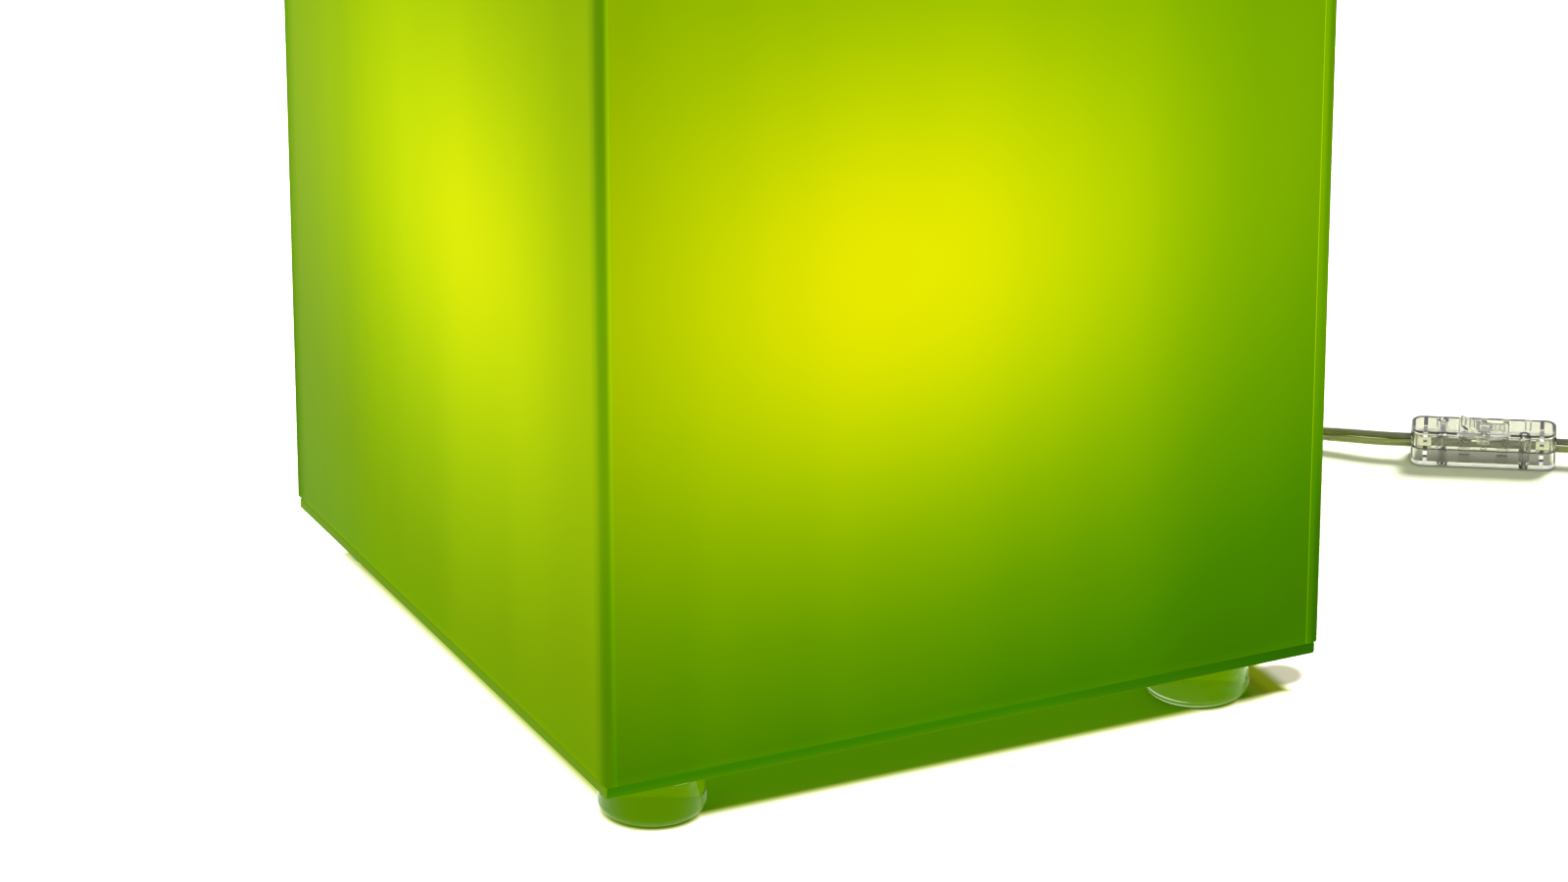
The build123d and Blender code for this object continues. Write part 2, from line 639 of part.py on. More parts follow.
def cord_tube(name, points):
    """Round cord along straight runs and tangent arcs."""
    radii = corner_radii(points)
    path = FilletPolyline(*points, radius=radii)
    section = Plane(origin=path @ 0, z_dir=path % 0) * Circle(CORD_R)
    tube = sweep(section, path=path.wire())
    print(name, "length", round(path.length, 1), "radii", [round(r, 1) for r in radii])
    print(name, "volume over section times length",
          round(tube.volume / (math.pi * CORD_R**2 * path.length), 5))
    save(name, tube)
    return path.length


def half_turn(start, heading, end):
    """Two tangent arcs that turn a path round by half a turn, level or climbing."""
    begin = Vector(*start)
    chord = Vector(*end) - begin
    reach = chord.length / 2
    middle = begin + Vector(*heading) * reach + chord * 0.5
    first = TangentArc(start, tuple(middle), tangent=heading)
    second = TangentArc(tuple(middle), end, tangent=tuple(chord.normalized()))
    return [*first.edges(), *second.edges()]


def coil_stations():
    """Radius and height at the end of every half turn."""
    stations = [(COIL_OUT_R, COIL_Z)]
    step = -COIL_PITCH / 2
    for layer in range(COIL_LAYERS):
        for _ in range(COIL_HALF_TURNS):
            radius, z = stations[-1]
            stations.append((radius + step, z))
        if layer < COIL_LAYERS - 1:
            radius, z = stations[-1]
            stations.append((radius, z + COIL_LAYER))
        step = -step
    return stations


def least_gap(wire):
    """Least gap between turns of one tube, on points along its axis."""
    count = 900
    step = wire.length / count
    points = [wire @ (i / count) for i in range(count + 1)]
    apart = int(4 * CORD_D / step)
    least = min(
        (points[i] - points[j]).length
        for i in range(count + 1)
        for j in range(i + apart, count + 1)
    )
    return least - CORD_D


def cord_coil():
    """One unbroken tube: spiral in, climb, spiral out, four layers high."""
    edges = [*Line(COIL_START, (COIL_START[0], COIL_Y, COIL_Z)).edges()]
    places = [(COIL_X - (-1) ** i * r, COIL_Y, z) for i, (r, z) in enumerate(coil_stations())]
    for i, (start, end) in enumerate(zip(places, places[1:])):
        heading = (0, -1 if i % 2 == 0 else 1, 0)
        edges += half_turn(start, heading, end)
    edges += Line(places[-1], COIL_END).edges()
    wire = Wire(edges)
    section = Plane(origin=COIL_START, z_dir=(0, -1, 0)) * Circle(CORD_R)
    coil = sweep(section, path=wire)
    print("cord_coil length", round(wire.length, 1), "least gap to itself", round(least_gap(wire), 2))
    print("cord_coil volume over section times length",
          round(coil.volume / (math.pi * CORD_R**2 * wire.length), 5))
    save("cord_coil", coil)
    return wire.length


def coil_tie():
    """Reusable band round the turns at the front of the coil."""
    arc_in = COIL_IN_R + COIL_PITCH / 4
    arc_out = COIL_OUT_R - COIL_PITCH / 4
    y_near = COIL_Y - arc_out - CORD_R - TIE_CLEAR
    y_far = COIL_Y - arc_in + CORD_R + TIE_CLEAR
    z_low = COIL_Z - CORD_R - TIE_LIFT
    z_high = COIL_TOP_Z + CORD_R + TIE_LIFT
    width = y_far - y_near
    height = z_high - z_low
    at = Plane(
        origin=(COIL_X - TIE_W / 2, (y_near + y_far) / 2, (z_low + z_high) / 2),
        x_dir=(0, 1, 0),
        z_dir=(1, 0, 0),
    )
    outside = RectangleRounded(width + 2 * TIE_T, height + 2 * TIE_T, 2.4 + TIE_T)
    band = at * (outside - RectangleRounded(width, height, 2.4))
    tie = extrude(band, TIE_W)
    head = block(
        COIL_X - TIE_W / 2 - 1, COIL_X + TIE_W / 2 + 1,
        y_near - TIE_T - 3.4, y_near - TIE_T / 2,
        z_high - 11, z_high - 5,
    )
    head = fillet(head.edges().filter_by(Axis.X), 0.8)
    tongue = block(
        COIL_X - TIE_W / 2 + 1, COIL_X + TIE_W / 2 - 1,
        y_near - TIE_T - 2.4, y_near - TIE_T - 1.4,
        z_low + 1.5, z_high - 10.5,
    )
    save("coil_tie", tie + head + tongue)
    return z_low - TIE_T


def cord_entry():
    """Strain relief in the cup's wall, the cord inside it, and the two cores."""
    bore = CORD_R + SLEEVE_CLEAR
    inner_wall_x = math.sqrt((CUP_R - CUP_WALL) ** 2 - FLANGE_R**2)
    axis = Axis((0, 0, CORD_Z), (1, 0, 0))
    outline = Polyline(
        (inner_wall_x - FLANGE_T, 0, CORD_Z + bore),
        (inner_wall_x - FLANGE_T, 0, CORD_Z + FLANGE_R),
        (inner_wall_x - 0.05, 0, CORD_Z + FLANGE_R),
        (inner_wall_x - 0.05, 0, CORD_Z + SLEEVE_TIP_R + 0.3),
        (CUP_R + 0.3, 0, CORD_Z + SLEEVE_TIP_R + 0.3),
        (CUP_R + 0.3, 0, CORD_Z + SLEEVE_ROOT_R),
        (CUP_R + 4, 0, CORD_Z + SLEEVE_ROOT_R),
        (CORD_EXIT_X, 0, CORD_Z + SLEEVE_TIP_R),
        (CORD_EXIT_X, 0, CORD_Z + bore),
        close=True,
    )
    sleeve = revolve(make_face(outline), axis)
    groove_count = 6
    pitch = (SLEEVE_LEN - 8) / groove_count
    for i in range(groove_count):
        x = CUP_R + 6 + i * pitch
        side = 1 if i % 2 == 0 else -1
        z_out = CORD_Z + side * (SLEEVE_ROOT_R + 1)
        z_in = CORD_Z + side * (CORD_R + 0.45)
        low, high = sorted((z_out, z_in))
        sleeve -= block(x, x + 1.1, -SLEEVE_ROOT_R - 1, SLEEVE_ROOT_R + 1, low, high)
    save("cord_sleeve", sleeve)
    jacket_end = 13.0
    save("cord_root", lying_rod(CORD_R, jacket_end, CORD_EXIT_X, 0, CORD_Z))
    cores = []
    for side in (-1, 1):
        y = side * 1.3
        path = FilletPolyline(
            (jacket_end, y, CORD_Z),
            (10.5, y, CORD_Z),
            (6.5, y, 6.3),
            (0, side * 1.5, 6.0),
            (0, side * 1.5, HOLDER_Z + TUBE_INTO_HOLDER + 0.6),
            (0, side * PASSAGE_Y, CORE_Z - 1.7),
            (0, side * PASSAGE_Y, CORE_TOP - 1),
            radius=[3.0, 3.0, 3.2, 2.6, 2.6],
        )
        section = Plane(origin=path @ 0, z_dir=path % 0) * Circle(CORE_WIRE_R)
        cores.append(sweep(section, path=path.wire()))
    save("cord_cores", *cores)


# ---- rocker switch: made level at the origin, then laid on the cord --------
def on_cord(shape):
    """Move a piece of the switch to its place on the cord."""
    return Pos(SWITCH_X, SWITCH_Y, 0) * Rot(0, 0, SWITCH_TURN) * shape


def save_on_cord(node, *solids):
    save(node, *[on_cord(solid) for solid in solids])


def switch_block(z0, z1, inset=0.0):
    """Block with the housing's plan outline, or one set inside it."""
    plan = RectangleRounded(SWITCH_L - 2 * inset, SWITCH_W - 2 * inset, SWITCH_CORNER_R - inset)
    return Pos(0, 0, z0) * extrude(plan, z1 - z0)


def clamp_ribs(z0, z1):
    """Cross ribs that grip the jacket at both ends."""
    half_w = SWITCH_W / 2 - SWITCH_WALL / 2
    x = SWITCH_L / 2 - 5.0
    return [block(side * x - CLAMP_T / 2, side * x + CLAMP_T / 2, -half_w, half_w, z0, z1)
            for side in (-1, 1)]


def screw_places():
    return ((-SCREW_X, SCREW_Y), (SCREW_X, -SCREW_Y))


def switch_lower_shell():
    """Tray with cord slots, clamp ribs, terminal pedestals and screw bosses."""
    shell = switch_block(0, SWITCH_AXIS_Z)
    shell = fillet(shell.faces().sort_by(Axis.Z)[0].edges(), SWITCH_EDGE_R)
    shell -= switch_block(SWITCH_WALL, SWITCH_AXIS_Z + 1, SWITCH_WALL)
    shell += clamp_ribs(SWITCH_WALL, SWITCH_AXIS_Z)
    terminal_x = (TERMINAL_SPAN - TERMINAL_L) / 2
    for side in (-1, 1):
        x = side * terminal_x
        half = TERMINAL_L / 2 - 0.4
        shell += block(x - half, x + half, LIVE_Y - 1.4, LIVE_Y + 1.4, SWITCH_WALL, TERMINAL_Z)
    for x, y in screw_places():
        shell += Pos(x, y, 0) * disc(BOSS_R, SWITCH_WALL, SWITCH_AXIS_Z)
        shell -= Pos(x, y, 0) * disc(SCREW_R + 0.1, -1, SWITCH_AXIS_Z + 1)
        shell -= Pos(x, y, 0) * disc(SCREW_R + 0.95, -1, 1.2)
    shell -= lying_rod(CORD_R + SLEEVE_CLEAR, -SWITCH_L, SWITCH_L, 0, SWITCH_AXIS_Z) - lying_rod(
        CORD_R + 1, -SWITCH_L / 2 + 6, SWITCH_L / 2 - 6, 0, SWITCH_AXIS_Z
    )
    save_on_cord("switch_lower_shell", shell)


def switch_upper_shell():
    """Cover with the rocker's opening, its ears, clamp ribs and grip ribs."""
    roof = SWITCH_H - SWITCH_WALL
    shell = switch_block(SWITCH_AXIS_Z, SWITCH_H)
    shell = fillet(shell.faces().sort_by(Axis.Z)[-1].edges(), SWITCH_EDGE_R)
    shell -= switch_block(SWITCH_AXIS_Z - 1, roof, SWITCH_WALL)
    shell += clamp_ribs(SWITCH_AXIS_Z, roof)
    for x, y in screw_places():
        shell += Pos(x, y, 0) * disc(BOSS_R, SWITCH_AXIS_Z, roof)
        shell -= Pos(x, y, 0) * disc(SCREW_R + 0.05, SWITCH_AXIS_Z - 1, roof - 0.6)
    shell -= lying_rod(CORD_R + SLEEVE_CLEAR, -SWITCH_L, SWITCH_L, 0, SWITCH_AXIS_Z) - lying_rod(
        CORD_R + 1, -SWITCH_L / 2 + 6, SWITCH_L / 2 - 6, 0, SWITCH_AXIS_Z
    )
    swing = math.hypot(ROCKER_L / 2, ROCKER_END_H)
    rise = math.degrees(math.atan2(ROCKER_END_H, ROCKER_L / 2))
    half_l = swing * math.cos(math.radians(rise - ROCKER_TILT)) + ROCKER_GAP
    half_w = ROCKER_W / 2 + ROCKER_GAP
    shell -= block(-half_l, half_l, -half_w, half_w, roof - 1, SWITCH_H + 1)
    pivot_z = SWITCH_H - PIVOT_DROP
    for side in (-1, 1):
        near, far = sorted((side * half_w, side * (half_w + EAR_T)))
        shell += block(-2.2, 2.2, near, far, pivot_z - 2.0, roof)
    pin_hole = Pos(0, 0, pivot_z) * Rot(90, 0, 0) * Cylinder(PIVOT_R + PIVOT_CLEAR, 2 * (half_w + EAR_T) + 0.6)
    shell -= pin_hole
    rib_h = SWITCH_H - SWITCH_AXIS_Z - 2.4
    for i in range(GRIP_RIBS):
        x = (i - (GRIP_RIBS - 1) / 2) * GRIP_PITCH
        for side in (-1, 1):
            shell += Pos(x, side * SWITCH_W / 2, SWITCH_AXIS_Z + 1.0 + rib_h / 2) * Cylinder(GRIP_R, rib_h)
    save_on_cord("switch_upper_shell", shell)


def switch_rocker():
    """Dished rocker on two trunnions, lying in its on position."""
    half = ROCKER_L / 2
    top = ThreePointArc((-half, 0, ROCKER_END_H), (0, 0, ROCKER_DIP_H), (half, 0, ROCKER_END_H))
    under = Polyline(
        (half, 0, ROCKER_END_H),
        (half, 0, 0.9),
        (3.0, 0, -0.6),
        (1.8, 0, -1.6),
        (-1.8, 0, -1.6),
        (-3.0, 0, -0.6),
        (-half, 0, 0.9),
        (-half, 0, ROCKER_END_H),
    )
    side = make_face(Wire([*top.edges(), *under.edges()]))
    body = Pos(0, ROCKER_W / 2, 0) * extrude(side, ROCKER_W, dir=(0, -1, 0))
    body = fillet(body.edges().filter_by(Axis.Y).sort_by(Axis.Z)[-2:], 0.5)
    pin_len = ROCKER_W + 2 * (ROCKER_GAP + EAR_T)
    body += Rot(90, 0, 0) * Cylinder(PIVOT_R, pin_len)
    body += block(-1.2, 1.2, LIVE_Y - 1.1, LIVE_Y + 1.1, -2.3, -1.0)
    for side_x in (-1, 1):
        for i in range(3):
            x = side_x * (half - 1.9 - 1.5 * i)
            dish = ROCKER_DIP_H + (ROCKER_END_H - ROCKER_DIP_H) * (x / half) ** 2
            body += Pos(x, 0, dish) * Rot(90, 0, 0) * Cylinder(0.35, ROCKER_W - 2.0)
    pivot_z = SWITCH_H - PIVOT_DROP
    save_on_cord("switch_rocker", Pos(0, 0, pivot_z) * Rot(0, ROCKER_TILT, 0) * body)


def switch_inside():
    """Terminals with their leaf and screws, the cores, and the jacket ends."""
    inner_x = TERMINAL_SPAN / 2 - TERMINAL_L
    outer_x = TERMINAL_SPAN / 2
    top = TERMINAL_Z + TERMINAL_H
    y0 = LIVE_Y - TERMINAL_W / 2
    y1 = LIVE_Y + TERMINAL_W / 2
    contacts = []
    screws = []
    for side in (-1, 1):
        low, high = sorted((side * inner_x, side * outer_x))
        terminal = block(low, high, y0, y1, TERMINAL_Z, top)
        bore_a, bore_b = sorted((side * (outer_x + 1), side * (outer_x - 3.0)))
        terminal -= lying_rod(0.7, bore_a, bore_b, LIVE_Y, SWITCH_AXIS_Z)
        screw_x = side * (outer_x - 2.2)
        terminal -= Pos(screw_x, LIVE_Y, 0) * disc(1.0, SWITCH_AXIS_Z + 0.7, top + 1)
        if side < 0:
            terminal += block(-inner_x - 0.5, inner_x - 0.2, LIVE_Y - 1.3, LIVE_Y + 1.3, top - 0.7, top - 0.2)
        else:
            terminal += block(1.5, inner_x + 0.5, LIVE_Y - 1.3, LIVE_Y + 1.3, top - 1.4, top - 0.8)
        contacts.append(terminal)
        screw = Pos(screw_x, LIVE_Y, 0) * disc(0.95, SWITCH_AXIS_Z + 0.9, top + 0.9)
        screws.append(screw - Pos(screw_x, LIVE_Y, top + 0.8) * Box(0.4, 3, 0.8))
    save_on_cord("switch_contacts", *contacts)
    for x, y in screw_places():
        shank = disc(SCREW_R, 1.0, SWITCH_H - SWITCH_WALL - 1.2)
        head = disc(SCREW_R + 0.85, 0.3, 1.15)
        slot = Pos(0, 0, 0.3) * Box(4, 0.45, 0.7)
        screws.append(Pos(x, y, 0) * (shank + head - slot))
    save_on_cord("switch_screws", *screws)
    jacket_x = SWITCH_L / 2 - JACKET_IN
    cores = [lying_rod(CORE_WIRE_R, -jacket_x, jacket_x, NEUTRAL_Y, SWITCH_AXIS_Z)]
    jackets = []
    for side in (-1, 1):
        near, far = sorted((side * (outer_x + 0.2), side * jacket_x))
        core = lying_rod(CORE_WIRE_R, near, far, LIVE_Y - 0.2, SWITCH_AXIS_Z)
        tip_a, tip_b = sorted((side * (outer_x - 2.2), side * (outer_x + 0.5)))
        cores.append(core + lying_rod(0.55, tip_a, tip_b, LIVE_Y, SWITCH_AXIS_Z))
        near, far = sorted((side * jacket_x, side * SWITCH_L / 2))
        jackets.append(lying_rod(CORD_R, near, far, 0, SWITCH_AXIS_Z))
    save_on_cord("switch_cores", *cores)
    save_on_cord("switch_jackets", *jackets)


# ---- two-pin plug -----------------------------------------------------------
def at_plug(shape):
    """Move a piece of the plug from the origin to where the plug lies."""
    return Pos(PLUG_X, PLUG_Y, PLUG_AXIS_Z) * Rot(0, 0, PLUG_TURN) * shape


def plug():
    """Moulded flat body with its tapered boot, two part-sleeved round pins."""
    back = PLUG_BOOT_L
    front = PLUG_BOOT_L + PLUG_L
    half = PLUG_W / 2
    plan = Polyline(
        (back, -6.4),
        (back + 5, -7.6),
        (back + 15, -half),
        (front - 2, -half),
        (front, -half + 2),
        (front, half - 2),
        (front - 2, half),
        (back + 15, half),
        (back + 5, 7.6),
        (back, 6.4),
        close=True,
    )
    body = Pos(0, 0, -PLUG_AXIS_Z) * extrude(make_face(plan), PLUG_H)
    body = fillet(body.faces().sort_by(Axis.Z)[-1].edges(), 1.6)
    body = fillet(body.faces().sort_by(Axis.Z)[0].edges(), 1.6)
    for side in (-1, 1):
        for i in range(4):
            x = back + 17 + i * 3.4
            groove = Pos(x, 0, side * (PLUG_H / 2 + 0.2)) * Box(1.3, PLUG_W * 0.55, 1.4)
            body -= groove
    save("plug_body", at_plug(body))
    boot = revolve(
        make_face(Polyline((0, 0), (0, SLEEVE_TIP_R), (back, 5.2), (back, 0), close=True)), Axis.X
    )
    for i in range(4):
        x = 3.2 + i * 4.4
        side = 1 if i % 2 == 0 else -1
        cut = block(x, x + 1.3, -7, 7, CORD_R + 0.2, 8)
        boot -= cut if side > 0 else Rot(180, 0, 0) * cut
    save("plug_boot", at_plug(boot))
    pins = []
    sleeves = []
    for side in (-1, 1):
        y = side * PIN_SPACING / 2
        shank = lying_rod(PIN_SLEEVE_R - 0.45, front, front + PIN_SLEEVE_L, y, 0)
        tip = lying_rod(PIN_R, front + PIN_SLEEVE_L, front + PIN_L, y, 0)
        end = tip.edges().sort_by(Axis.X)[-1]
        pins.append(at_plug(shank + fillet(end, 1.2)))
        sleeve = lying_rod(PIN_SLEEVE_R, front, front + PIN_SLEEVE_L, y, 0)
        sleeve -= lying_rod(PIN_SLEEVE_R - 0.4, front - 1, front + PIN_SLEEVE_L + 1, y, 0)
        sleeves.append(at_plug(sleeve))
    save("plug_pins", *pins)
    save("plug_pin_sleeves", *sleeves)


def build():
    """Make every piece, print the cord's figures, and write the files."""
    glass_box()
    base_plate()
    feet()
    corner_angles()
    cord_cup()
    threaded_tube()
    stem()
    holder_cup()
    holder_skirt()
    holder_core()
    socket_contacts()
    bulb()
    cord_entry()
    total = cord_tube("cord_to_switch", ROUTE_TO_SWITCH) + SWITCH_L
    total += cord_tube("cord_to_coil", ROUTE_TO_COIL)
    total += cord_coil()
    total += cord_tube("cord_to_plug", ROUTE_TO_PLUG)
    print("cord, strain relief to plug:", round(total, 1))
    print("lowest point of the tie:", round(coil_tie(), 2))
    switch_lower_shell()
    switch_upper_shell()
    switch_rocker()
    switch_inside()
    plug()
    os.makedirs("parts", exist_ok=True)
    for node, shape in made.items():
        export_step(shape, f"parts/{node}.step")
    print(len(made), "nodes")


build()
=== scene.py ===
"""Looks of a lit box lamp.

A bonnet of five satin green glass panes glows over a green glass plate on four
clear feet.  A clear cord with a clear rocker switch leaves under the plate's
right edge.  Metres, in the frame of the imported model: +Z up, -Y front, +X right.
"""

import json
import logging
import math
from dataclasses import dataclass, field
from enum import Enum

import bpy
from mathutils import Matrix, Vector


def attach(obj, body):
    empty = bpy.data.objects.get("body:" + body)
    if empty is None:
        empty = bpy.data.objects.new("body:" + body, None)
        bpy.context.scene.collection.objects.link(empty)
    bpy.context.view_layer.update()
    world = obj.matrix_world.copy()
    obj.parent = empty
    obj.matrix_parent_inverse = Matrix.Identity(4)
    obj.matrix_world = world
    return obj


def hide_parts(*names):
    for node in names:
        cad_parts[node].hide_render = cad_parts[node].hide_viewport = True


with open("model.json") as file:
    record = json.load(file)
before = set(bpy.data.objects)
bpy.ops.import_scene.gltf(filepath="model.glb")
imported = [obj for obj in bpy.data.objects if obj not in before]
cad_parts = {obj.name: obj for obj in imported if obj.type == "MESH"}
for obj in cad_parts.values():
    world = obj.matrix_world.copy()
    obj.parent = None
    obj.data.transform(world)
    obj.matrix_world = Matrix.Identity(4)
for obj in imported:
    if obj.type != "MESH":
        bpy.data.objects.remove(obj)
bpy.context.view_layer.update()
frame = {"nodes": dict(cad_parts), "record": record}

LOG = logging.getLogger("box_lamp")
MM = 0.001
HALF_W = 125.0  # half the lamp's width, in millimetres
END_FACE = 124.6  # from the middle to just inside the panes' end faces, in millimetres
FALLOFF = -1.5  # a small source's light on a plane, as a power of its squared distance
WHITE = (1.0, 1.0, 1.0, 1.0)

Pair = tuple[float, float]
Point = tuple[float, float, float]
Colour = tuple[float, float, float, float]
Ramp = tuple[tuple[float, str], ...]
Tree = bpy.types.NodeTree
Node = bpy.types.Node
Socket = bpy.types.NodeSocket
Sockets = bpy.types.bpy_prop_collection
Material = bpy.types.Material


# ---- small helpers --------------------------------------------------------------
def linear(colour: str) -> Colour:
    """Turn an sRGB hex value such as "#3a7500" to linear.

    Args:
        colour: The hex value, with its hash.

    Returns:
        Linear red, green, blue and a full alpha.
    """
    channels = [int(colour[i : i + 2], 16) / 255 for i in (1, 3, 5)]
    return (*(c / 12.92 if c <= 0.04045 else ((c + 0.055) / 1.055) ** 2.4 for c in channels), 1.0)


def add_node(
    tree: Tree, kind: str, inputs: dict | None = None, stops: Ramp = (), **settings: object
) -> Node:
    """Add a shader node with its settings and links.

    Args:
        tree: The tree that gets the node.
        kind: Blender's name of the node type.
        inputs: Socket name or number to a value, or to an output that is linked to it.
        stops: Positions and hex colours, for a colour ramp.
        **settings: Attributes of the node.

    Returns:
        The node.
    """
    node = tree.nodes.new(kind)
    for name, value in settings.items():
        setattr(node, name, value)
    for socket, value in (inputs or {}).items():
        if isinstance(value, bpy.types.NodeSocket):
            tree.links.new(value, node.inputs[socket])
        else:
            node.inputs[socket].default_value = value
    if stops:
        elements = node.color_ramp.elements
        while len(elements) < len(stops):
            elements.new(1.0)
        for element, (position, colour) in zip(elements, stops):
            element.position = position
            element.color = linear(colour)
    return node


def reckon(tree: Tree, operation: str, *values: Socket | float) -> Socket:
    """Work out one value from others.

    Args:
        tree: The tree that gets the node.
        operation: Blender's name of the operation.
        *values: Sockets or numbers that it works on.

    Returns:
        The socket with the result.
    """
    return add_node(
        tree, "ShaderNodeMath", dict(enumerate(values)), operation=operation
    ).outputs[0]


def fade(
    tree: Tree, value: Socket, ends: Pair, results: Pair = (0.0, 1.0), smooth: bool = True
) -> Socket:
    """Go from one result to another while a value goes from one end to another.

    Args:
        tree: The tree that gets the node.
        value: The value.
        ends: Where the change starts and ends.
        results: What is given before the first end and past the second.
        smooth: Whether the change starts and ends gently.

    Returns:
        The socket with the result.
    """
    return add_node(
        tree, "ShaderNodeMapRange",
        {"Value": value, "From Min": ends[0], "From Max": ends[1],
         "To Min": results[0], "To Max": results[1]},
        interpolation_type="SMOOTHSTEP" if smooth else "LINEAR",
    ).outputs["Result"]


def fade_mm(tree: Tree, value: Socket, ends: Pair, **more: object) -> Socket:
    """Fade over a value in metres, between two ends in millimetres.

    Args:
        tree: The tree that gets the node.
        value: The value.
        ends: Where the change starts and ends.
        **more: What else fade takes.

    Returns:
        The socket with the result.
    """
    return fade(tree, value, (ends[0] * MM, ends[1] * MM), **more)


def mix(
    tree: Tree, share: Socket | float, first: Socket | Colour, second: Socket | Colour,
    blend: str = "MIX",
) -> Socket:
    """Mix two colours.

    Args:
        tree: The tree that gets the node.
        share: How much of the second colour there is.
        first: The first colour.
        second: The second colour.
        blend: Blender's name for how they are mixed.

    Returns:
        The socket with the colour.
    """
    return add_node(
        tree, "ShaderNodeMix", {"Factor": share, 6: first, 7: second},
        data_type="RGBA", blend_type=blend,
    ).outputs[2]


def split(tree: Tree, place: Socket) -> tuple[Sockets, Socket, Socket]:
    """Take a place apart.

    Args:
        tree: The tree that gets the nodes.
        place: The place on the object.

    Returns:
        Its three coordinates, and its distances from the lamp's middle along X and Y.
    """
    axes = add_node(tree, "ShaderNodeSeparateXYZ", {"Vector": place}).outputs
    return axes, reckon(tree, "ABSOLUTE", axes["X"]), reckon(tree, "ABSOLUTE", axes["Y"])


def new_tree(owner: Material | bpy.types.World) -> Tree:
    """Give a material or a world an empty node tree.

    Args:
        owner: The material or world.

    Returns:
        The tree.
    """
    owner.use_nodes = True
    owner.node_tree.nodes.clear()
    return owner.node_tree


def seen_ray(tree: Tree) -> Socket:
    """Give 1 to what the camera sees, straight, mirrored or through clear stuff.

    Args:
        tree: The tree that gets the nodes.

    Returns:
        The socket with that 1, or 0 for a ray that lights a surface.
    """
    path = add_node(tree, "ShaderNodeLightPath").outputs
    seen = reckon(tree, "MAXIMUM", path["Is Camera Ray"], path["Is Glossy Ray"])
    return reckon(tree, "MAXIMUM", seen, path["Is Transmission Ray"])


def place_points(points: list[Point]) -> list[Point]:
    """Turn millimetres to metres, point by point.

    Args:
        points: The points, in millimetres.

    Returns:
        The same points, in metres.
    """
    return [(x * MM, y * MM, z * MM) for x, y, z in points]


# ---- finishes --------------------------------------------------------------------
@dataclass(frozen=True)
class Finish:
    """A plain surface: its colour, its gloss, and the fine unevenness of how it was made.

    Attributes:
        name: Common name of the material and how it was made.
        colour: Main colour.
        second: Colour of the faint patches in it.
        patch: Size of those patches, in millimetres.
        roughness: Lowest and highest roughness.
        grain: Size of the surface's grain, in millimetres.
        relief: Depth of that grain, in millimetres.
        metallic: 1 for bare metal.
        ior: Index of refraction.
        specular: Specular level, 0.5 for a plain dielectric.
        gloss: Tint of what it mirrors when seen straight on.
        alpha: Opacity.
        transmission: 1 for solid clear stuff.
        stretch: Stretches the grain along X, Y and Z, as brushing or rolling does.
        noise_middle: Range of a noise texture's values that is spread over the roughness.
        patch_ends: Where in that noise the main colour ends and the second one starts.
    """

    name: str
    colour: str
    second: str
    patch: float = 12.0
    roughness: Pair = (0.3, 0.4)
    grain: float = 0.6
    relief: float = 0.02
    metallic: float = 0.0
    ior: float = 1.5
    specular: float = 0.5
    gloss: str = "#ffffff"
    alpha: float = 1.0
    transmission: float = 0.0
    stretch: Point = (1.0, 1.0, 1.0)
    noise_middle: Pair = (0.3, 0.7)
    patch_ends: Pair = (0.35, 0.7)

    def make(self) -> Material:
        """Build the material.

        Returns:
            The material, with its nodes.
        """
        material = bpy.data.materials.new(self.name)
        tree = new_tree(material)
        place = add_node(tree, "ShaderNodeTexCoord").outputs["Object"]
        grained = add_node(tree, "ShaderNodeMapping", {"Vector": place, "Scale": self.stretch})
        patches = add_node(
            tree, "ShaderNodeTexNoise",
            {"Vector": place, "Scale": 1 / (self.patch * MM), "Detail": 3.0},
        )
        colour = add_node(
            tree, "ShaderNodeValToRGB", {"Fac": patches.outputs["Fac"]},
            stops=((self.patch_ends[0], self.colour), (self.patch_ends[1], self.second)),
        )
        grain = add_node(
            tree, "ShaderNodeTexNoise",
            {"Vector": grained.outputs["Vector"], "Scale": 1 / (self.grain * MM), "Detail": 2.0},
        ).outputs["Fac"]
        bump = add_node(
            tree, "ShaderNodeBump",
            {"Height": grain, "Strength": 0.6, "Distance": self.relief * MM},
        )
        shader = add_node(
            tree, "ShaderNodeBsdfPrincipled",
            {"Base Color": colour.outputs["Color"],
             "Roughness": fade(tree, grain, self.noise_middle, self.roughness, smooth=False),
             "Normal": bump.outputs["Normal"], "Metallic": self.metallic, "IOR": self.ior,
             "Specular IOR Level": self.specular, "Specular Tint": linear(self.gloss),
             "Alpha": self.alpha, "Transmission Weight": self.transmission},
        )
        add_node(tree, "ShaderNodeOutputMaterial", {"Surface": shader.outputs["BSDF"]})
        self.light(tree, shader, place)
        return material

    def light(self, tree: Tree, shader: Node, place: Socket) -> None:
        """Add what glows, if anything does.

        Args:
            tree: The material's tree.
            shader: Its shader.
            place: The place on the object.
        """


@dataclass(frozen=True)
class Glowing(Finish):
    """A finish that gives off its own light all over, as an opal globe does.

    Attributes:
        glow: Colour of the light.
        strength: Its strength.
    """

    glow: str = "#ffffff"
    strength: float = 1.0

    def light(self, tree: Tree, shader: Node, place: Socket) -> None:
        """Light the shader evenly."""
        shader.inputs["Emission Color"].default_value = linear(self.glow)
        shader.inputs["Emission Strength"].default_value = self.strength


# from the darkest bottom corner to the spot in front of the bulb: green glass
# lets more red through the brighter it is lit
GLASS_RAMP = (
    (0.22, "#3d7300"),
    (0.30, "#458000"),
    (0.45, "#669a00"),
    (0.60, "#88b200"),
    (0.72, "#a4c500"),
    (0.86, "#c5d900"),
    (1.00, "#e6e900"),
)


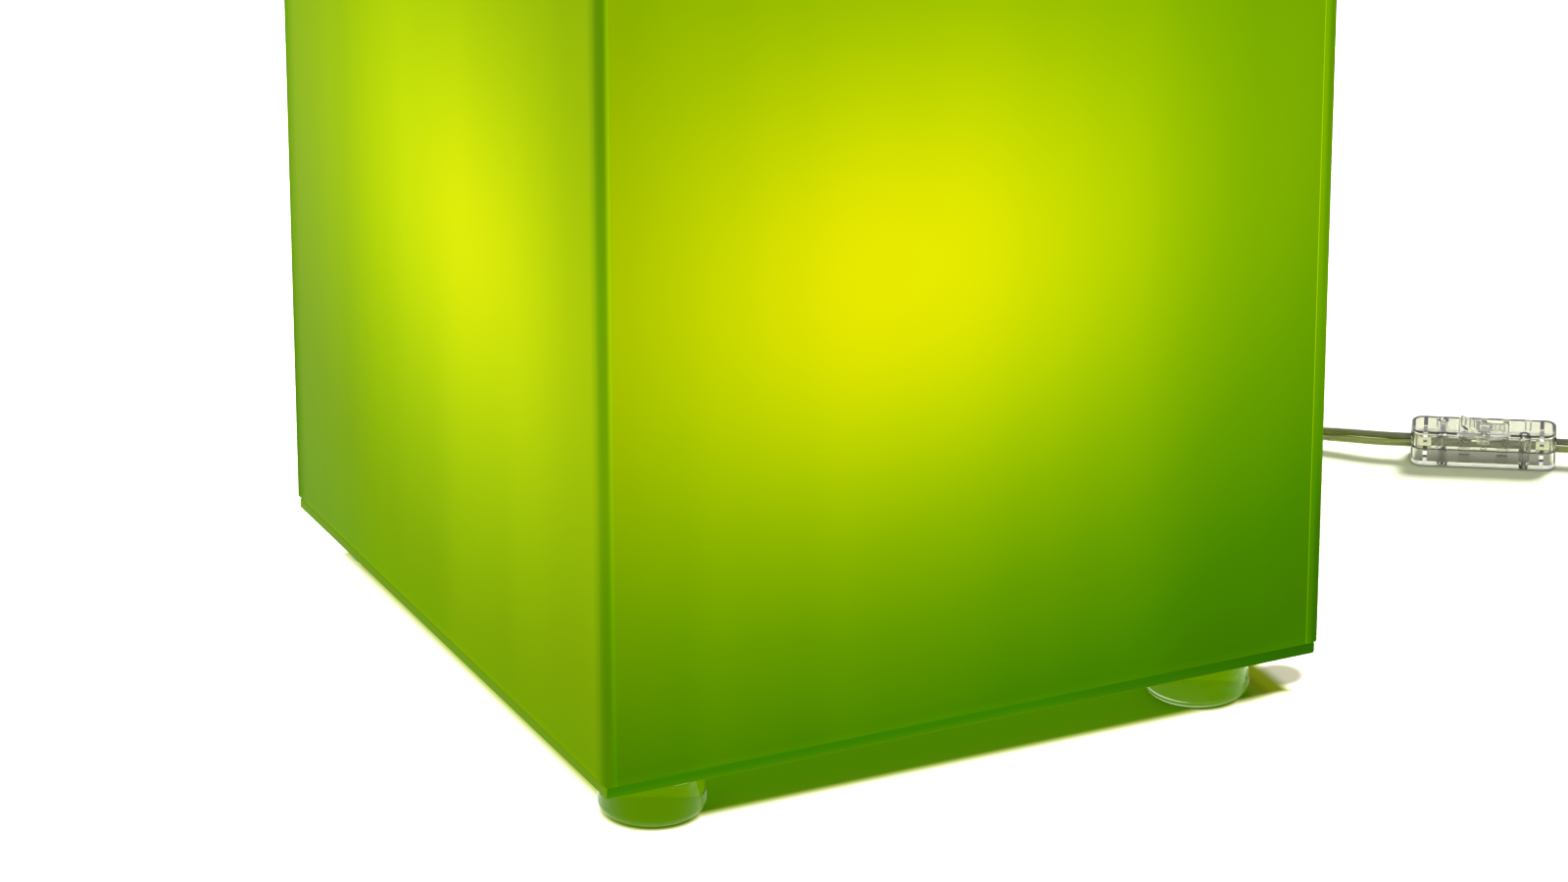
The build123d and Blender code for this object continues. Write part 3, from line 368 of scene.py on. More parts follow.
# the side pane is seen aslant, through more of its thickness: a little less green
ASLANT_RAMP = (
    (0.40, "#5a8600"),
    (0.49, "#709b00"),
    (0.55, "#7da100"),
    (0.61, "#8baf00"),
    (0.72, "#a5c400"),
    (0.86, "#c4da00"),
    (1.00, "#e6eb00"),
)


@dataclass(frozen=True)
class Glow:
    """How the bulb lights one pane from behind.

    Attributes:
        across: Axis of the pane's width.
        up: Axis of its height.
        centre: Brightest spot along those axes, in millimetres.
        spread: Width and height of the spot, in millimetres.
        peak: Brightness of the spot over the rest.
        rest: Brightness far from the spot.
        slope: Change of the rest per half width along those axes.
        ramp: Colours of the light that comes through, from dark to bright.
        bands: Faint upright bands of brighter and dimmer light per metre, across and up.
        band_depth: Change of the light from the dimmest to the brightest band.
    """

    across: str
    up: str
    centre: Pair
    spread: Pair
    peak: float
    rest: float
    slope: Pair
    ramp: Ramp = GLASS_RAMP
    bands: Pair = (28.0, 1.5)
    band_depth: float = 0.08

    def vector(self, across: float, up: float) -> Point:
        """Put two values on the pane's axes, and none on the third.

        Args:
            across: The value along its width.
            up: The value along its height.

        Returns:
            The values along X, Y and Z.
        """
        values = {self.across: across, self.up: up}
        return tuple(values.get(axis, 0.0) for axis in "xyz")

    def shine(self, tree: Tree, place: Socket) -> Socket:
        """Give the colour of the glass with the bulb behind it.

        Args:
            tree: The tree that gets the nodes.
            place: The place on the object.

        Returns:
            The socket with the colour.
        """
        shrink = self.vector(1 / (self.spread[0] * MM), 1 / (self.spread[1] * MM))
        middle = self.vector(*(-c / s for c, s in zip(self.centre, self.spread)))
        spot = add_node(
            tree, "ShaderNodeMapping", {"Vector": place, "Location": middle, "Scale": shrink}
        ).outputs["Vector"]
        away = add_node(tree, "ShaderNodeVectorMath", {0: spot, 1: spot}, operation="DOT_PRODUCT")
        falloff = reckon(tree, "POWER", reckon(tree, "ADD", away.outputs["Value"], 1.0), FALLOFF)
        ground = self.rest - self.slope[1] * self.centre[1] / HALF_W
        lit = reckon(tree, "MULTIPLY_ADD", falloff, self.peak, ground)
        tilt = self.vector(*(slope / (HALF_W * MM) for slope in self.slope))
        lean = add_node(tree, "ShaderNodeVectorMath", {0: place, 1: tilt}, operation="DOT_PRODUCT")
        level = reckon(tree, "ADD", lit, lean.outputs["Value"])
        # faint upright bands of brighter and dimmer light in the glow
        bands = add_node(
            tree, "ShaderNodeMapping", {"Vector": place, "Scale": self.vector(*self.bands)}
        )
        band_noise = add_node(
            tree, "ShaderNodeTexNoise",
            {"Vector": bands.outputs["Vector"], "Scale": 1.0, "Detail": 1.0},
        )
        banded = reckon(
            tree, "MULTIPLY_ADD", band_noise.outputs["Fac"], self.band_depth, -self.band_depth / 2
        )
        light = reckon(tree, "ADD", level, banded)
        return add_node(
            tree, "ShaderNodeValToRGB", {"Fac": light}, stops=self.ramp
        ).outputs["Color"]


@dataclass(frozen=True)
class SatinGlass(Finish):
    """Etched green glass that the bulb lights from behind.

    Attributes:
        glow: The bulb's spot on this pane.
        end_glow: The bulb's spot on the front, which goes on over the pane's end face there.
        seam_light: Red and green of the bonded seam's light against the glass beside it.
        seam: Distances from the middle, in millimetres, where the bonded seam starts to
            glow and where it does so fully.
        arris: Distances from the middle where the upright corner starts and is fully dark.
        arris_share: How much of the glass's own light is lost there.
        arris_ramp: Light that reaches the eye along the corner, from the floor up to
            arris_top.
        arris_top: That height, in millimetres.
        sill_light: Red and green of the light at the lower edge against the glass above it.
        sill: Heights between which the light picks up there, in millimetres.
        lean: Tints of the light at the pane's two sides: what goes through more glass
            comes out greener.
        lean_ends: Where along the width they are reached, in millimetres.
        painted_reflection: Strength of the painted reflection of the surroundings at the far lower
            end.
        reflection_colour: Colour of that painted reflection.
        reflection_depth: Where it starts and is full from front to rear, in millimetres.
        reflection_height: Where it starts and is full from the top down, in millimetres.
        reflection_least: Its share above that.
    """

    glow: Glow | None = None
    end_glow: Glow | None = None
    seam_light: Pair = (1.15, 1.15)
    seam: Pair = (119.4, 121.0)
    arris: Pair = (121.7, 123.6)
    arris_share: float = 0.9
    arris_ramp: Ramp = (
        (0.17, "#507f00"),
        (0.28, "#598b00"),
        (0.38, "#6b9800"),
        (0.60, "#649800"),
        (0.81, "#5a8700"),
    )
    arris_top: float = 300.0
    sill_light: Pair = (1.10, 1.08)
    sill: Pair = (22.0, 20.0)
    lean: tuple[Point, Point] | None = None
    lean_ends: Pair = (-120.0, 120.0)
    painted_reflection: float = 0.0
    reflection_colour: str = "#8a9c74"
    reflection_depth: Pair = (50.0, 125.0)
    reflection_height: Pair = (270.0, 120.0)
    reflection_least: float = 0.15

    def light(self, tree: Tree, shader: Node, place: Socket) -> None:
        """Spread the bulb's light over the pane, and line its edges."""
        axes, across, along = split(tree, place)
        corner = reckon(tree, "MINIMUM", across, along)
        colour = self.glow.shine(tree, place)
        if self.lean:
            width = axes[self.glow.across.upper()]
            near, far = ((*tint, 1.0) for tint in self.lean)
            farther = fade_mm(tree, width, self.lean_ends, smooth=False)
            colour = mix(tree, 1.0, colour, mix(tree, farther, near, far), "MULTIPLY")
        dark = fade_mm(tree, corner, self.arris, results=(0.0, self.arris_share))
        if self.end_glow:
            at_end = reckon(tree, "GREATER_THAN", along, END_FACE * MM)
            narrow = fade_mm(tree, corner, SatinGlass.arris, results=(0.0, self.arris_share))
            dark = add_node(
                tree, "ShaderNodeMix", {"Factor": at_end, 2: dark, 3: narrow}
            ).outputs[0]
            colour = mix(tree, at_end, colour, self.end_glow.shine(tree, place))
        for source, ends, tint in (
            (corner, self.seam, self.seam_light),
            (axes["Z"], self.sill, self.sill_light),
        ):
            share = fade_mm(tree, source, ends, smooth=False)
            colour = mix(tree, share, colour, (*tint, 1.0, 1.0), "MULTIPLY")
        # painted reflection of the bright surroundings, mixed into the pane's light
        if self.painted_reflection:
            colour = self.paint_reflection(tree, axes, colour)
        height = fade_mm(tree, axes["Z"], (0.0, self.arris_top), smooth=False)
        edge = add_node(tree, "ShaderNodeValToRGB", {"Fac": height}, stops=self.arris_ramp)
        colour = mix(tree, dark, colour, edge.outputs["Color"])
        tree.links.new(colour, shader.inputs["Emission Color"])
        shader.inputs["Emission Strength"].default_value = 1.0

    def paint_reflection(self, tree: Tree, axes: Sockets, colour: Socket) -> Socket:
        """Lay the painted reflection of the bright surroundings over the pane's far lower end.

        Args:
            tree: The tree that gets the nodes.
            axes: The coordinates of the place.
            colour: The pane's light.

        Returns:
            The socket with the light and the painted reflection over it.
        """
        far = fade_mm(tree, axes["Y"], self.reflection_depth, results=(0.0, self.painted_reflection))
        low = fade_mm(tree, axes["Z"], self.reflection_height, results=(self.reflection_least, 1.0))
        return mix(tree, reckon(tree, "MULTIPLY", far, low), colour, linear(self.reflection_colour))


@dataclass(frozen=True)
class PlateGlass(Finish):
    """Clear green glass plate: light leaves it below and, darker, at its cut edges.

    Attributes:
        below: Light from its underside.
        above: Light from its top, under the bulb.
        above_rim: The same towards the corners.
        above_ends: Distances from the middle where those two are reached.
        middle: Height between its underside and its top.
        front_edge: Light from the cut edges at the front and rear, at their top.
        low_edge: The same at their bottom.
        edge_ends: Heights where those two are reached, from the bottom up.
        right_end: The same at their right end, farthest from the light.
        right_ends: Where along X that starts and is full.
        right_share: How much of it there is at the end.
        side_edge: Light from the cut edges at the sides.
        rim: Distances from the middle where the edges' light starts and is full.

    All lengths are in millimetres.
    """

    below: str = "#78a600"
    above: str = "#b2cd00"
    above_rim: str = "#6f9f00"
    above_ends: Pair = (30.0, 170.0)
    middle: float = 17.0
    front_edge: str = "#387f00"
    low_edge: str = "#4a8400"
    edge_ends: Pair = (15.2, 17.8)
    right_end: str = "#265f00"
    right_ends: Pair = (20.0, 118.0)
    right_share: float = 0.9
    side_edge: str = "#6c9600"
    rim: Pair = (123.6, 124.2)

    def light(self, tree: Tree, shader: Node, place: Socket) -> None:
        """Light the plate by side."""
        axes, across, along = split(tree, place)
        reach = reckon(tree, "MAXIMUM", across, along)
        away = add_node(tree, "ShaderNodeVectorMath", {0: place}, operation="LENGTH")
        outwards = fade_mm(tree, away.outputs["Value"], self.above_ends)
        above = mix(tree, outwards, linear(self.above), linear(self.above_rim))
        upper = reckon(tree, "GREATER_THAN", axes["Z"], self.middle * MM)
        faces = mix(tree, upper, linear(self.below), above)
        rise = fade_mm(tree, axes["Z"], self.edge_ends)
        front = mix(tree, rise, linear(self.low_edge), linear(self.front_edge))
        right = fade_mm(
            tree, axes["X"], self.right_ends, results=(0.0, self.right_share), smooth=False
        )
        front = mix(tree, right, front, linear(self.right_end))
        sideways = reckon(tree, "GREATER_THAN", across, along)
        edges = mix(tree, sideways, front, linear(self.side_edge))
        colour = mix(tree, fade_mm(tree, reach, self.rim, smooth=False), faces, edges)
        tree.links.new(colour, shader.inputs["Emission Color"])
        shader.inputs["Emission Strength"].default_value = 1.0


# ---- stage -----------------------------------------------------------------------
@dataclass(frozen=True)
class Disc:
    """A disc on the floor with a soft edge.

    Attributes:
        centre: Its middle, in millimetres.
        radius: Its radius, in millimetres.
        edge: Shares of the radius between which the edge runs.
    """

    centre: Pair
    radius: float
    edge: Pair

    def outside(self, tree: Tree, place: Socket) -> Socket:
        """Give 0 inside the disc and 1 outside it.

        Args:
            tree: The tree that gets the nodes.
            place: The place on the floor.

        Returns:
            The socket with the value.
        """
        x, y = self.centre
        shrink = 1 / (self.radius * MM)
        scaled = add_node(
            tree, "ShaderNodeMapping",
            {"Vector": place, "Location": (-x / self.radius, -y / self.radius, 0.0),
             "Scale": (shrink, shrink, 1.0)},
        )
        away = add_node(
            tree, "ShaderNodeVectorMath", {0: scaled.outputs["Vector"]}, operation="LENGTH"
        )
        return fade(tree, away.outputs["Value"], self.edge)


@dataclass(frozen=True)
class Softbox:
    """One square soft light that faces the lamp.

    Attributes:
        name: Its name.
        place: Middle of its face.
        size: Edge length, in metres.
        watts: Its power.
        aim: Where it faces.
    """

    name: str
    place: Point
    size: float
    watts: float
    aim: Point = (0.0, 0.0, 0.1)

    def hang(self) -> None:
        """Hang it, unseen by the camera and by mirroring or clear stuff."""
        bpy.ops.object.light_add(type="AREA", location=self.place)
        light = bpy.context.object
        light.name = self.name
        light.data.size = self.size
        light.data.energy = self.watts
        facing = Vector(self.aim) - Vector(self.place)
        light.rotation_euler = facing.to_track_quat("-Z", "Y").to_euler()
        light.visible_camera = False
        light.visible_glossy = False
        light.visible_transmission = False


@dataclass
class Studio:
    """White floor, soft lights and the camera.

    Attributes:
        floor_size: Edge of the floor.
        floor_drop: Floor below the feet's soles, so that the faces don't fight.
        shown: Light that the camera sees over the floor's own shading, under the cord and
            beside the lamp.
        flex: The floor that the cord lies on.
        feet: The feet that the camera sees: the green light runs down through them.
        shade: Where the plate's shadow shows beside the right foot.
        rim: Distances from the lamp's middle where the green light under it starts to give
            way to the white of the studio and has done so, in millimetres.
        rim_shift: How far that rim lies off the lamp's middle, in millimetres.
        under: Colour of the floor under the lamp: painted green light from the plate, in the
            lamp's shadow.
        paper: Colour of the floor elsewhere.
        right_edge_shade: Painted shade: colour of the floor under the lamp's right edge.
        right_edge_shade_ends: Where along X that painted shade is full and where it ends, in
            millimetres.
        dusky: Colour of the shadow beside the right foot.
        fringe: Painted yellow tint of the studio's white at the rim, where the green light under
            the lamp fades out.
        world: Light of the surroundings on the object.
        lights: The soft lights.
        camera: Place of the camera.
        pitch: Its downward tilt, in degrees.
        yaw: Its turn from +Y towards +X, in degrees.
        lens: Focal length, in millimetres.
        sensor: Width of the sensor, in millimetres.
    """

    floor_size: float = 60.0
    floor_drop: float = 0.0003
    shown: Pair = (0.06, 0.92)
    flex: Disc = Disc((352.0, -20.0), 225.0, (0.62, 1.0))
    feet: tuple[Disc, ...] = (
        Disc((-101.0, -106.5), 16.5, (0.86, 1.04)),
        Disc((93.0, -103.5), 16.5, (0.86, 1.04)),
    )
    shade: Disc = Disc((122.5, -105.0), 11.0, (0.55, 1.0))
    rim: Pair = (113.2, 118.8)
    rim_shift: Pair = (4.2, -1.6)
    under: str = "#a6cd2c"
    paper: str = "#f3f3dc"
    right_edge_shade: str = "#66700f"
    right_edge_shade_ends: Pair = (112.0, 100.0)
    dusky: str = "#b4ac9c"
    fringe: str = "#ffef80"
    world: float = 0.12
    lights: tuple[Softbox, ...] = (
        Softbox("key", (1.6, 0.9, 1.75), 0.9, 102.0),
        Softbox("overhead", (0.0, -0.4, 2.6), 1.6, 13.0),
        Softbox("left_box", (-2.2, -1.0, 1.5), 1.4, 14.0),
    )
    camera: Point = (-0.93444, -1.93518, 0.97808)
    pitch: float = 23.04
    yaw: float = 25.67
    lens: float = 164.95
    sensor: float = 36.0

    def build(self) -> None:
        """Lay the floor, hang the lights and set the camera."""
        self.lay_floor()
        self.light_world()
        for light in self.lights:
            light.hang()
        self.set_camera()

    def lay_floor(self) -> None:
        """Lay the white floor, which keeps the lamp's shadow."""
        bpy.ops.object.select_all(action="DESELECT")
        bpy.ops.mesh.primitive_plane_add(size=self.floor_size, location=(0, 0, -self.floor_drop))
        floor = bpy.context.object
        floor.name = "floor"
        floor.data.materials.append(self.sweep())

    def sweep(self) -> Material:
        """Make the paper of the floor: painted green light and shadow under the lamp, white to the
        camera elsewhere.

        Returns:
            The material.
        """
        material = bpy.data.materials.new("white_paper_sweep")
        tree = new_tree(material)
        place = add_node(tree, "ShaderNodeTexCoord").outputs["Object"]
        x = add_node(tree, "ShaderNodeSeparateXYZ", {"Vector": place}).outputs["X"]
        outside = self.outside_lamp(tree, place)
        shaded = self.shade.outside(tree, place)
        shown = fade(tree, self.flex.outside(tree, place), (0.0, 1.0), self.shown, smooth=False)
        seen = reckon(tree, "MULTIPLY", seen_ray(tree), reckon(tree, "MULTIPLY", shown, shaded))
        strength = reckon(tree, "MULTIPLY", outside, seen)
        # painted shade: the green floor turns dark olive under the plate's right edge
        left = fade_mm(tree, x, self.right_edge_shade_ends, smooth=False)
        under = mix(tree, left, linear(self.right_edge_shade), linear(self.under))
        paper = mix(tree, shaded, linear(self.dusky), linear(self.paper))
        # the floor's colour: painted green light and shadow under the lamp, paper elsewhere
        matt = add_node(
            tree, "ShaderNodeBsdfDiffuse", {"Color": mix(tree, outside, under, paper)}
        )
        # painted light: a yellow fringe where the green under the lamp meets the white
        twice = reckon(tree, "MULTIPLY", outside, outside)
        tint = mix(tree, twice, linear(self.fringe), WHITE)
        white = add_node(tree, "ShaderNodeEmission", {"Color": tint, "Strength": strength})
        both = add_node(
            tree, "ShaderNodeAddShader", {0: matt.outputs["BSDF"], 1: white.outputs["Emission"]}
        )
        add_node(tree, "ShaderNodeOutputMaterial", {"Surface": both.outputs["Shader"]})
        return material

    def outside_lamp(self, tree: Tree, place: Socket) -> Socket:
        """Give 0 under the lamp and its feet and 1 outside them, with a soft edge.

        Args:
            tree: The tree that gets the nodes.
            place: The place on the floor.

        Returns:
            The socket with the value.
        """
        back = (-self.rim_shift[0] * MM, -self.rim_shift[1] * MM, 0.0)
        moved = add_node(tree, "ShaderNodeVectorMath", {0: place, 1: back}, operation="ADD")
        _, across, along = split(tree, moved.outputs["Vector"])
        outside = fade_mm(tree, reckon(tree, "MAXIMUM", across, along), self.rim)
        for foot in self.feet:
            outside = reckon(tree, "MINIMUM", outside, foot.outside(tree, place))
        return outside

    def light_world(self) -> None:
        """White surroundings to the camera, and a low even light on the lamp."""
        world = bpy.data.worlds.new("studio")
        bpy.context.scene.world = world
        tree = new_tree(world)
        strength = fade(tree, seen_ray(tree), (0.0, 1.0), (self.world, 1.0), smooth=False)
        sky = add_node(tree, "ShaderNodeBackground", {"Color": WHITE, "Strength": strength})
        add_node(tree, "ShaderNodeOutputWorld", {"Surface": sky.outputs["Background"]})

    def set_camera(self) -> None:
        """Put the camera where the photograph was taken from."""
        bpy.ops.object.camera_add(
            location=self.camera,
            rotation=(math.radians(90 - self.pitch), 0, -math.radians(self.yaw)),
        )
        camera = bpy.context.object
        camera.data.lens = self.lens
        camera.data.sensor_width = self.sensor
        camera.data.sensor_fit = "HORIZONTAL"
        camera.data.clip_end = 100.0
        bpy.context.scene.camera = camera
        bpy.context.scene.view_settings.view_transform = "Standard"


# ---- cord ------------------------------------------------------------------------
LINE_STEPS = 6  # points on a cord's line for each point of its route
JACKET_BEVEL = 5  # roundness of a jacket
CORE_BEVEL = 2  # roundness of a core inside it
CORE_GAP = 1.02  # keeps the two cores of a cord just apart


def round_about(centre: Pair, radius: float, angle: float) -> Pair:
    """Give the point at a distance and an angle from another one.

    Args:
        centre: The other point.
        radius: The distance.
        angle: The angle from X towards Y, in radians.

    Returns:
        The point.
    """
    return (centre[0] + radius * math.cos(angle), centre[1] + radius * math.sin(angle))


@dataclass
class CordSizes:
    """Sizes of the cord, the switch that lies on it, the coil and the plug, in millimetres.

    Attributes:
        diameter: Thickness of the cord.
        exit_x: Where it leaves the strain relief under the plate.
        exit_z: Its height there.
        switch: Middle of the switch.
        switch_half: Half its length.
        switch_z: Height of the cord in it.
        switch_turn: Its turn from X, in degrees.
        lead_in: Straight cord before it.
        lead_out: Straight cord behind it, and before the plug.
        coil: Middle of the coil.
        coil_z: Height of its lowest layer.
        coil_radius: Radius of its outermost turn.
        coil_pitch: Distance from turn to turn.
        coil_layer: Distance from layer to layer.
        coil_layers: Number of layers.
        half_turns: Half turns in one layer.
        points_per_half: Points of the route in half a turn.
        bulge: Puts those points farther out, because the smooth curve runs inside them.
        plug: Back end of the plug.
        plug_z: Height of the cord there.
        plug_turn: Its turn from X, in degrees.
    """

    diameter: float = 5.0
    exit_x: float = 48.0
    exit_z: float = 8.9
    switch: Pair = (272.5, 18.3)
    switch_half: float = 25.0
    switch_z: float = 6.3
    switch_turn: float = -31.5
    lead_in: float = 10.0
    lead_out: float = 13.0
    coil: Pair = (352.0, -62.0)
    coil_z: float = 3.9
    coil_radius: float = 33.5
    coil_pitch: float = 6.6
    coil_layer: float = 5.5
    coil_layers: int = 4
    half_turns: int = 3
    points_per_half: int = 8
    bulge: float = 1.0194
    plug: Pair = (384.0, 12.0)
    plug_z: float = 6.85
    plug_turn: float = 93.0

    def along_switch(self, distance: float) -> Point:
        """Give a point on the switch's axis, measured from its middle."""
        return (*round_about(self.switch, distance, math.radians(self.switch_turn)), self.switch_z)

    def along_plug(self, distance: float) -> Point:
        """Give a point on the plug's axis, measured from its back end."""
        return (*round_about(self.plug, distance, math.radians(self.plug_turn)), self.plug_z)

    def to_switch(self) -> list[Point]:
        """Route from the strain relief, under the plate's right edge, to the switch."""
        return [
            (self.exit_x, 0, self.exit_z),
            (61, 0, self.exit_z),
            (77, 4, 5.2),
            (94, 13, 2.7),
            (111, 27, 2.6),
            (130, 45, 2.6),
            (150, 62, 2.6),
            (172, 74, 2.6),
            (195, 74.5, 3.2),
            (215, 64, 4.4),
            (231.5, 48.5, 5.4),
            self.along_switch(-self.switch_half - self.lead_in),
            self.along_switch(-self.switch_half),
        ]

    def turns(self) -> list[Point]:
        """Points of the coil: spiral in, climb, spiral out, layer by layer.

        Returns:
            The points, from the outermost turn of the lowest layer to that of the top one.
        """
        places = [(self.coil_radius, self.coil_z)]
        step = -self.coil_pitch / 2
        for layer in range(self.coil_layers):
            for _ in range(self.half_turns):
                places.append((places[-1][0] + step, places[-1][1]))
            if layer < self.coil_layers - 1:
                places.append((places[-1][0], places[-1][1] + self.coil_layer))
            step = -step
        points = []
        for i, (start, end) in enumerate(zip(places, places[1:])):
            for k in range(self.points_per_half):
                share = k / self.points_per_half
                radius = self.bulge * (start[0] + (end[0] - start[0]) * share)
                z = start[1] + (end[1] - start[1]) * share
                points.append((*round_about(self.coil, radius, math.pi * (1 + i + share)), z))
        points.append((self.coil[0] + self.bulge * places[-1][0], self.coil[1], places[-1][1]))
        return points

    def to_plug(self) -> list[Point]:
        """Route from the switch, round the coil, to the plug's boot."""
        left, right = self.coil[0] - self.coil_radius, self.coil[0] + self.coil_radius
        top = self.coil_z + (self.coil_layers - 1) * self.coil_layer
        start_y = self.coil[1] + self.diameter
        return [
            self.along_switch(self.switch_half),
            self.along_switch(self.switch_half + self.lead_out),
            (318, -14, 5.0),
            (323.5, -29.5, self.coil_z),
            (318.5, -45, self.coil_z),
            (left, start_y, self.coil_z),
            *self.turns(),
            (right, start_y, top),
            (385.5, -44, top),
            (386, -29.5, 17.0),
            (385.5, -15.4, 10.2),
            self.along_plug(-self.lead_out),
            self.along_plug(0.0),
        ]


@dataclass
class FreeCord:
    """One clear round cord with its two twisted cores.

    Attributes:
        name: Name of the jacket's piece.
        points: Its route, in millimetres.
        length: Its real length, in millimetres; not used.
        far_end: What is on its far end; not used.
        nodes: The plain tubes that it stands for.
        on_it: The pieces that lie on it; not used.
        diameter: Outside diameter, in millimetres.
        core: Radius of one core, in millimetres.
        lay: Length of one twist of the cores, in millimetres.
        turn: Turn of the cores at the start, in degrees.
    """

    name: str
    points: list[Point]
    length: float
    far_end: str
    nodes: tuple[str, ...]
    on_it: tuple[str, ...]
    diameter: float = 5.0
    core: float = 0.9
    lay: float = 150.0
    turn: float = 0.0

    def build(
        self, jacket: Material, insulation: tuple[Material, Material]
    ) -> list[bpy.types.Object]:
        """Draw the jacket as one smooth curve, and the cores inside it.

        Args:
            jacket: Finish of the jacket.
            insulation: Finishes of the two cores.

        Returns:
            The jacket and its two cores.
        """
        curve = bpy.data.curves.new(self.name, "CURVE")
        curve.dimensions = "3D"
        curve.resolution_u = LINE_STEPS
        spline = curve.splines.new("NURBS")
        spline.points.add(len(self.points) - 1)
        for point, place in zip(spline.points, place_points(self.points)):
            point.co = (*place, 1.0)
        spline.order_u = 3  # quadratic
        spline.use_endpoint_u = True
        cord = bpy.data.objects.new(self.name, curve)
        bpy.context.scene.collection.objects.link(cord)
        line = self.centreline(cord)
        curve.bevel_depth = self.diameter / 2 * MM
        curve.bevel_resolution = JACKET_BEVEL
        curve.materials.append(jacket)
        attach(cord, "base")
        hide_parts(*self.nodes)
        pieces = [cord]
        for side, letter, finish in zip((0.0, math.pi), "ab", insulation):
            pieces.append(self.core_along(line, side, f"{self.name}_core_{letter}", finish))
        LOG.info("%s: %d route points, %d on its line", self.name, len(self.points), len(line))
        return pieces

    def centreline(self, cord: bpy.types.Object) -> list[Vector]:
        """Read the smooth line that the route's points give, before it is thick."""
        bpy.context.view_layer.update()
        mesh = bpy.data.meshes.new_from_object(cord)
        line = [vertex.co.copy() for vertex in mesh.vertices]
        bpy.data.meshes.remove(mesh)
        return line

    def core_along(
        self, line: list[Vector], phase: float, name: str, insulation: Material
    ) -> bpy.types.Object:
        """Wind one core round the cord's line.

        Args:
            line: The cord's line.
            phase: Where round the line this core starts, in radians.
            name: Name of the piece.
            insulation: Its finish.

        Returns:
            The core, as a mesh.
        """
        curve = bpy.data.curves.new(name, "CURVE")
        curve.dimensions = "3D"
        spline = curve.splines.new("POLY")
        spline.points.add(len(line) - 1)
        travelled = 0.0
        for i, place in enumerate(line):
            ahead = line[min(i + 1, len(line) - 1)] - line[max(i - 1, 0)]
            sideways = ahead.cross(Vector((0, 0, 1))).normalized()
            upwards = sideways.cross(ahead).normalized()
            if i:
                travelled += (place - line[i - 1]).length
            angle = phase + math.radians(self.turn) + math.tau * travelled / (self.lay * MM)
            offset = sideways * math.cos(angle) + upwards * math.sin(angle)
            spline.points[i].co = (*(place + offset * (self.core * CORE_GAP) * MM), 1.0)
        curve.bevel_depth = self.core * MM
        curve.bevel_resolution = CORE_BEVEL
        core = bpy.data.objects.new(name, curve)
        bpy.context.scene.collection.objects.link(core)
        bpy.ops.object.select_all(action="DESELECT")
        core.select_set(True)
        bpy.context.view_layer.objects.active = core
        bpy.ops.object.convert(target="MESH")
        core = bpy.context.object
        bpy.ops.object.shade_smooth()
        core.data.materials.append(insulation)
        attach(core, "base")
        return core


# the second core: a lit copy of the olive core's PVC, pale yellow-green, painted light for what
# the clear jacket gathers on its lower side
PAINTED_LIT_CORE = Finish(
    "pvc_insulation_painted_lit", "#c3cc74", "#bac36a", patch=3.0, roughness=(0.35, 0.5),
    relief=0.01,
)
SWITCH_NODES = (
    "switch_lower_shell", "switch_upper_shell", "switch_rocker", "switch_contacts",
    "switch_screws", "switch_cores", "switch_jackets",
)
PLUG_NODES = ("plug_body", "plug_boot", "plug_pins", "plug_pin_sleeves", "coil_tie")


@dataclass
class Flex:
    """The cord in its two lengths, before and after the switch.

    Attributes:
        sizes: Where it runs.
        first_length: Real length up to the switch, in millimetres.
        second_length: Real length from there to the plug, in millimetres.
        first_turn: Turn of the cores where the first length starts, in degrees, set so that the
            pale core, painted light, shows below the olive one.
        second_turn: The same for the second length.
    """

    sizes: CordSizes = field(default_factory=CordSizes)
    first_length: float = 242.1
    second_length: float = 1487.3
    first_turn: float = 288.0
    second_turn: float = 113.0

    def build(self, finishes: dict[str, Material]) -> None:
        """Make both lengths.

        Args:
            finishes: Materials by the name of their slot.
        """
        jacket = finishes["clear_pvc_jacket"]
        # the pale second core is a painted-lit copy of the olive one
        insulation = (finishes["olive_core_insulation"], PAINTED_LIT_CORE.make())
        FreeCord(
            "cord_lamp_to_switch", self.sizes.to_switch(), self.first_length, "fitting",
            ("cord_to_switch",), SWITCH_NODES, turn=self.first_turn,
        ).build(jacket, insulation)
        FreeCord(
            "cord_switch_to_plug", self.sizes.to_plug(), self.second_length, "plug",
            ("cord_to_coil", "cord_coil", "cord_to_plug"), PLUG_NODES, turn=self.second_turn,
        ).build(jacket, insulation)


